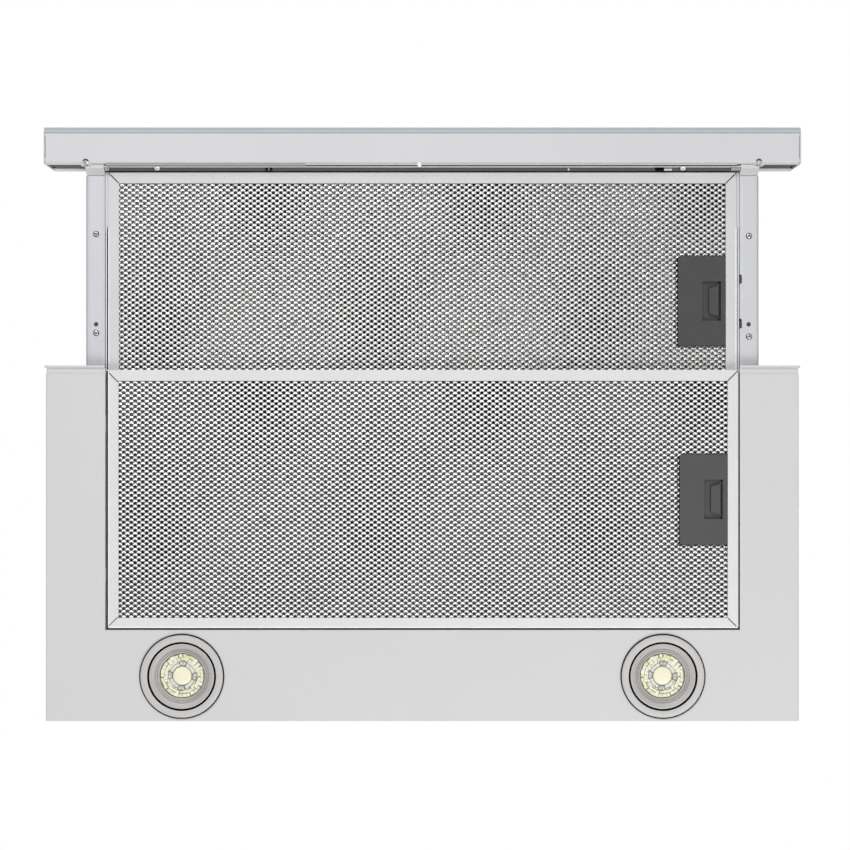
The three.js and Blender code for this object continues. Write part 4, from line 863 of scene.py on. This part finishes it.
for name, profile, place, material in (
        ("rest_rivet", [(0, 0.6), (0.5, 0.5), (0.8, 0.1), (0.8, -0.2), (0, -0.2)],
         (-122.2, -438.4, -40.3), GAP_SHADE_AND_RIVET_GREY),
        ("bar_rivet", [(0, 0.8), (1.0, 0.7), (1.8, 0.2), (1.8, -0.3), (0, -0.3)],
         (-2.3, -441.4, FACE), SCREW_STEEL),
        ("rest_pip", [(0, 0.7), (0.7, 0.5), (1.0, 0), (0, 0)],
         (116.5, -438.4, -39.6), SCREW_STEEL)):
    turned(name, *STEEL, profile, place, material=material)
# dark blocks of painted shade in the arm's two slots
for index, y in enumerate((-350.6, -315.0)):
    block(f"arm_slot_{index}", *TRIM, (252.5, y - 2.8, ARM_FACE - 0.08),
          (255.0, y + 2.8, ARM_FACE + 0.4), SLOT_SHADE, 0.03)

# the screws under the arms, each in a dark ring and with a dark line over its slot, both painted
# shade
for name, x, y in (("left_front", -260.4, -387.2), ("left_rear", -260.4, -308.2),
                   ("right_front", 260.7, -385.6), ("right_rear", 260.7, -305.4)):
    turned(f"arm_washer_{name}", *STEEL, [(1.2, 0), (1.2, 0.2), (2.4, 0.2), (2.5, 0)],
           (x, y, ARM_FACE), looped=True, material=DARK_JOINT_AND_SHADOW)
    screw(f"arm_screw_{name}", "carriage", (x, y, ARM_FACE - 0.1), DOWN, 1.85, 1.1, SCREW_GREY,
          0.3)
    seam(f"arm_screw_slot_{name}", *STEEL, (x - 0.8, y - 0.8), (x + 0.8, y + 0.8),
         ARM_FACE - 1.25, 0.55, DARK_JOINT_AND_SHADOW)

# the screws of the motor box, its brackets and the collar
for index, x in enumerate((-220, -110, 0, 110, 220)):
    screw(f"box_screw_front_{index}", "casing", (x, -257, FLANGE_FACE), UP, 3.2, 2.0,
          SCREW_STEEL, 0.7 * index)
for name, side in SIDES:
    for index, y in enumerate((-232, -190, -85, -30)):
        screw(f"box_screw_{name}_{index}", "casing", (side * 260.3, y, FLANGE_FACE), UP, 3.0,
              1.9, SCREW_STEEL, 0.5 * index)
    for index, z in enumerate((30, 66)):
        screw(f"bracket_screw_{name}_{index}", "casing", (side * 256.9, -163, z), (side, 0, 0),
              3.0, 1.9, SCREW_STEEL, 0.6 * index)
for index in range(4):
    angle = math.radians(45 + 90 * index)
    place = (COLLAR_SCREWS * math.cos(angle), COLLAR_MIDDLE + COLLAR_SCREWS * math.sin(angle),
             COLLAR_FACE)
    screw(f"collar_screw_{index}", "casing", place, UP, 2.6, 1.6, SCREW_STEEL, 0.8 * index)


# ---------------------------------- lamps

LENS_TONES = [
    lens("lens_clear", (0.93, 0.925, 0.76)),
    lens("lens_warm", (0.80, 0.80, 0.56)),
    lens("lens_white", (0.96, 0.955, 0.86)),
    enamel("lens_clip", (0.50, 0.50, 0.50), 0.35),
    enamel("lens_stud", (0.86, 0.86, 0.84), 0.2),
    # painted shadow round the lens clips
    enamel("lens_clip_shadow", (0.20, 0.20, 0.19), 0.4),
]
LENS_BASE = enamel("lens_base", (0.30, 0.31, 0.19), 0.4)
LENS_GROOVE = enamel("lens_groove", (0.78, 0.775, 0.71), 0.4)
LENS_DARK = enamel("lens_dark", (0.26, 0.26, 0.22), 0.5)
LENS_EDGE = enamel("lens_edge", (0.17, 0.17, 0.13), 0.5)
# painted shadow round the lamp bezels
BEZEL_SHADOW = enamel("bezel_shadow_grey", (0.022, 0.022, 0.022), specular=0.1)
LAMP_STEP = enamel("lamp_step", (0.33, 0.32, 0.30), 0.5)
LAMP_DISH = brushed("lamp_dish", (0.50, 0.485, 0.47), 0.1, 0.5, EVEN, 0.03, 0.00002)


CLEAR, WARM, WHITE, CLIP, STUD, SHADE = range(6)  # in LENS_TONES


def lens_core():
    """The middle of the lens, with a fine honeycomb over the light source."""
    core = Finish("lens_core", (0.93, 0.90, 0.67), coat=0.3, coat_rough=0.15)
    honeycomb = core.ranged(core.cells(0.0011, "Distance"), 0.45, 0, 0.1, 0.5)
    core.mixed(honeycomb, (0.80, 0.76, 0.45))
    core.tone(0.03, 0.002).rough(0.35, 0.05).grain(0.0008, 0.00006)
    return core.made()


LENS_CORE = lens_core()
LAMP_STEPS = 96
LENS_FACE = 2.2  # mm below the top of the lens
CELL_RADII, CELL_COUNTS = (10.7, 12.3, 14.6, 17.3), (22, 26, 30)
DISH_FACE = -46.1
DISH_STEPS = 9
DISH_START, DISH_STEP = (23.2, 0.62), (0.62, 0.29)  # radius and depth, and how they change


def pillow(bm, centre, radii, angles, base, rise, inset, kind):
    """A raised cell of a lens between two radii and two angles."""
    def place(radius, angle, height):
        spot = Vector((radius * math.cos(angle), radius * math.sin(angle), -height))
        return bm.verts.new((centre + spot) * MM)

    (r0, r1), (a0, a1) = radii, angles
    foot = [place(r, a, base) for r, a in ((r0, a0), (r1, a0), (r1, a1), (r0, a1))]
    r0, r1 = r0 + inset, r1 - inset
    b0, b1, c0, c1 = a0 + inset / r0, a1 - inset / r0, a0 + inset / r1, a1 - inset / r1
    crown = [place(r, a, base + rise) for r, a in ((r0, b0), (r1, c0), (r1, c1), (r0, b1))]
    faces = [bm.faces.new(crown)]
    for k in range(4):
        m = (k + 1) % 4
        faces.append(bm.faces.new((foot[k], foot[m], crown[m], crown[k])))
    for face in faces:
        face.material_index = kind


def lens_cells(centre):
    """Three rows of uneven cells, and four clips over them with two studs each, each clip on a
    dark pillow of painted shadow.
    """
    rng = random.Random(11)
    bm = bmesh.new()
    for row, count in enumerate(CELL_COUNTS):
        start = rng.uniform(0, 0.2)
        for k in range(count):
            narrow = rng.choice((0, 0, 0, 0.14, 0.3))
            a0 = start + math.tau * (k + narrow + rng.uniform(-0.05, 0.05)) / count
            a1 = start + math.tau * (k + 1 - 0.03) / count
            far = CELL_RADII[row + 1] - rng.choice((0, 0, 0.3, 0.7))
            pillow(bm, centre, (CELL_RADII[row], far), (a0, a1), LENS_FACE,
                   rng.uniform(0.15, 0.4), 0.12, rng.choice((CLEAR, CLEAR, WHITE, WHITE, WARM)))
    for k in range(4):
        middle = math.tau * k / 4 + 0.06
        for radii, half, rise, inset, kind in (((7.9, 11.9), 0.31, 0.5, 0.1, SHADE),
                                               ((8.2, 11.5), 0.27, 0.8, 0.35, CLIP)):
            pillow(bm, centre, radii, (middle - half, middle + half), LENS_FACE, rise, inset,
                   kind)
        for spot in (middle - 0.13, middle + 0.13):
            pillow(bm, centre, (9.6, 10.7), (spot - 0.05, spot + 0.05), 3.0, 0.25, 0.2, STUD)
    return bm


def lamp(name):
    """Lens, dish and bezel of one lamp, on its CAD pieces' places."""
    low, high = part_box(f"lamp_lens_{name}")
    x, y = (low.x + high.x) / 2 / MM, (low.y + high.y) / 2 / MM
    centre = Vector((x, y, high.z / MM))

    def ring(label, slot, profile, at, material=None, looped=True, replaces=()):
        turned(f"lamp_{label}", "casing", slot, profile, at, steps=LAMP_STEPS, looped=looped,
               material=material, replaces=replaces)

    ring(f"lens_base_{name}", "lamp_lens", [(0, 0), (17.9, 0), (17.9, 1.7), (17.3, 2.2), (0, 2.2)],
         centre, LENS_BASE, False, [f"lamp_lens_{name}"])
    ring(f"lens_rim_{name}", "lamp_lens", [(17.3, 2.0), (17.4, 2.6), (17.8, 2.5), (18.0, 1.6)],
         centre, LENS_EDGE)
    from_bmesh(f"lamp_lens_cells_{name}", lens_cells(centre), "casing", LENS_TONES)
    ring(f"lens_groove_{name}", "lamp_lens",
         [(7.7, 2.2), (7.9, 2.5), (8.3, 2.3), (8.9, 2.45), (9.5, 2.3), (10.2, 2.55), (10.5, 2.2)],
         centre, LENS_GROOVE)
    ring(f"lens_ring_{name}", "lamp_lens", [(7.4, 2.2), (7.4, 2.7), (7.7, 2.7), (7.7, 2.2)],
         centre, LENS_DARK)
    ring(f"lens_step_{name}", "lamp_lens",
         [(10.35, 2.2), (10.35, 2.65), (10.65, 2.65), (10.65, 2.2)], centre, LENS_DARK)
    ring(f"lens_core_{name}", "lamp_lens",
         [(0, 3.0), (3.0, 2.95), (5.8, 2.8), (7.0, 2.55), (7.4, 2.2), (0, 2.2)], centre,
         LENS_CORE, False)
    face = (x, y, DISH_FACE)
    # radii and depths of the stepped dish
    dish = [(0, 20.0), (25.7, 20.0), (25.7, 0), (25.2, -0.12), (24.4, -0.1), (23.6, 0.5)]
    for step in range(DISH_STEPS):
        radius, depth = DISH_START[0] - DISH_STEP[0] * step, DISH_START[1] + DISH_STEP[1] * step
        dish += [(radius, depth + 0.02), (radius - 0.3, depth + 0.22)]
    dish += [(18.05, 3.35), (18.05, 6.0), (0, 6.0)]
    ring(f"dish_{name}", "lamp_metal", [(r, -d) for r, d in dish], face, LAMP_DISH, False,
         [f"lamp_body_{name}"])
    for index, (radius, depth) in enumerate(((19.2, 2.2), (20.9, 1.4))):
        ring(f"step_{name}_{index}", "lamp_metal",
             [(radius, -depth), (radius, -depth + 0.3), (radius + 0.35, -depth + 0.45),
              (radius + 0.35, -depth)], face, LAMP_STEP)
    ring(f"ring_{name}", "lamp_metal",
         [(27.4, -0.1), (27.3, 0.3), (27.4, 0.5), (27.7, 0.6), (31.8, 0.6), (32.5, 0.3),
          (33.0, -0.5), (33.0, -0.9), (29.4, -0.9), (29.4, -12), (27.6, -12)],
         face, replaces=[f"lamp_bezel_{name}"])
    # a dark ring of painted shadow round the bezel
    ring(f"bezel_shadow_{name}", "black_plastic",
         [(32.8, -0.6), (32.9, 0.2), (33.5, 0.1), (33.7, -0.3), (33.7, -1.05), (32.8, -1.05)],
         face, BEZEL_SHADOW)
    ring(f"shadow_ring_{name}", "black_plastic",
         [(25.5, -0.3), (27.4, -0.3), (27.4, -0.9), (25.5, -0.9)], face, JOINT_AND_SHADOW_BLACK)


for name, side in SIDES:
    lamp(name)


# ---------------------------------- camera, light and floor

CAMERA_PLACE = (0.0021, -0.2348, -1.2655)  # straight below the hood, looking up
FIELD_OF_VIEW = math.radians(30.87)
SENSOR = 36  # mm
BODY_MIDDLE, BOX_MIDDLE = (0, -0.24, 0), (0, -0.2, 0.05)
LIGHTS = (  # name, place, aim, diameter, watts
    ("key_below", (-0.5, -1.7, -1.9), BODY_MIDDLE, 1.0, 20),
    ("fill_below", (0.6, 1.3, -1.9), BODY_MIDDLE, 1.4, 24),
    ("key_above", (1.2, -1.6, 1.9), BOX_MIDDLE, 2.6, 18),
    ("fill_above", (-1.6, 1.1, 1.6), BOX_MIDDLE, 2.4, 14),
)
WORLD_LIGHT = 0.55
FLOOR_LEVEL, FLOOR_GREY = -4.5, 0.8
FLOOR_RINGS, FLOOR_STEPS = (0.6, 1.5, 3, 6, 14), 48
FADE_START, FADE_END = 2.0, 6.5  # metres from the origin


def make_camera():
    data = bpy.data.cameras.new("camera")
    camera = bpy.data.objects.new("camera", data)
    bpy.context.scene.collection.objects.link(camera)
    bpy.context.scene.camera = camera
    camera.location = CAMERA_PLACE
    camera.rotation_euler = (math.pi, 0, 0)
    data.sensor_width = SENSOR
    data.lens = SENSOR / 2 / math.tan(FIELD_OF_VIEW / 2)
    data.clip_start = 0.01
    data.clip_end = 60


def soft_light(name, place, aim, size, watts):
    """A round lamp that the camera doesn't see."""
    data = bpy.data.lights.new(name, "AREA")
    data.shape = "DISK"
    data.size = size
    data.energy = watts
    light = bpy.data.objects.new(name, data)
    bpy.context.scene.collection.objects.link(light)
    light.location = place
    light.rotation_euler = (Vector(aim) - Vector(place)).to_track_quat("-Z", "Y").to_euler()
    light.visible_camera = False


def plain_rays(tree):
    """A socket that is 1 for the camera and for what reflects or refracts, and 0 for others."""
    path = tree.nodes.new("ShaderNodeLightPath")
    most = path.outputs["Is Camera Ray"]
    for ray in ("Is Glossy Ray", "Is Transmission Ray"):
        node = tree.nodes.new("ShaderNodeMath")
        node.operation = "MAXIMUM"
        tree.links.new(most, node.inputs[0])
        tree.links.new(path.outputs[ray], node.inputs[1])
        most = node.outputs[0]
    return most


def world_light(strength):
    """Even light from all round; plain rays see plain white."""
    world = bpy.data.worlds.new("studio")
    bpy.context.scene.world = world
    world.use_nodes = True
    tree = world.node_tree
    background = tree.nodes["Background"]
    background.inputs["Color"].default_value = (1, 1, 1, 1)
    level = tree.nodes.new("ShaderNodeMapRange")
    level.inputs["To Min"].default_value = strength
    level.inputs["To Max"].default_value = 1.0
    tree.links.new(plain_rays(tree), level.inputs["Value"])
    tree.links.new(level.outputs["Result"], background.inputs["Strength"])


def floor_material():
    """Pale and rough; plain rays see it fade into plain white away from the origin."""
    material = bpy.data.materials.new("floor")
    material.use_nodes = True
    tree = material.node_tree
    add, link = tree.nodes.new, tree.links.new
    shader = tree.nodes["Principled BSDF"]
    shader.inputs["Base Color"].default_value = (FLOOR_GREY, FLOOR_GREY, FLOOR_GREY, 1)
    shader.inputs["Roughness"].default_value = 0.9
    shader.inputs["Specular IOR Level"].default_value = 0.1
    away = add("ShaderNodeVectorMath")
    away.operation = "LENGTH"
    link(add("ShaderNodeTexCoord").outputs["Object"], away.inputs[0])
    fade = add("ShaderNodeMapRange")
    fade.interpolation_type = "SMOOTHSTEP"
    fade.inputs["From Min"].default_value = FADE_START
    fade.inputs["From Max"].default_value = FADE_END
    link(away.outputs["Value"], fade.inputs["Value"])
    share = add("ShaderNodeMath")
    share.operation = "MULTIPLY"
    link(plain_rays(tree), share.inputs[0])
    link(fade.outputs["Result"], share.inputs[1])
    mix = add("ShaderNodeMixShader")
    for source, target in ((share.outputs[0], mix.inputs[0]), (shader.outputs[0], mix.inputs[1]),
                           (add("ShaderNodeEmission").outputs[0], mix.inputs[2]),
                           (mix.outputs[0], tree.nodes["Material Output"].inputs["Surface"])):
        link(source, target)
    return material


def pale_floor():
    """A pale floor well below the hood, fading into the white backdrop away from it."""
    bm = bmesh.new()
    turns = [math.tau * k / FLOOR_STEPS for k in range(FLOOR_STEPS)]
    rings = []
    for radius in FLOOR_RINGS:
        ring = [bm.verts.new((radius * math.cos(a), BODY_MIDDLE[1] + radius * math.sin(a),
                              FLOOR_LEVEL)) for a in turns]
        if rings:
            bridge(bm, rings[-1], ring, FLOOR_STEPS)
        rings.append(ring)
    bm.faces.new(rings[0])
    mesh = bpy.data.meshes.new("floor")
    bm.to_mesh(mesh)
    bm.free()
    floor = bpy.data.objects.new("floor", mesh)
    bpy.context.scene.collection.objects.link(floor)
    mesh.materials.append(floor_material())


make_camera()
for light in LIGHTS:
    soft_light(*light)
world_light(WORLD_LIGHT)
pale_floor()
bpy.context.scene.view_settings.view_transform = "Standard"
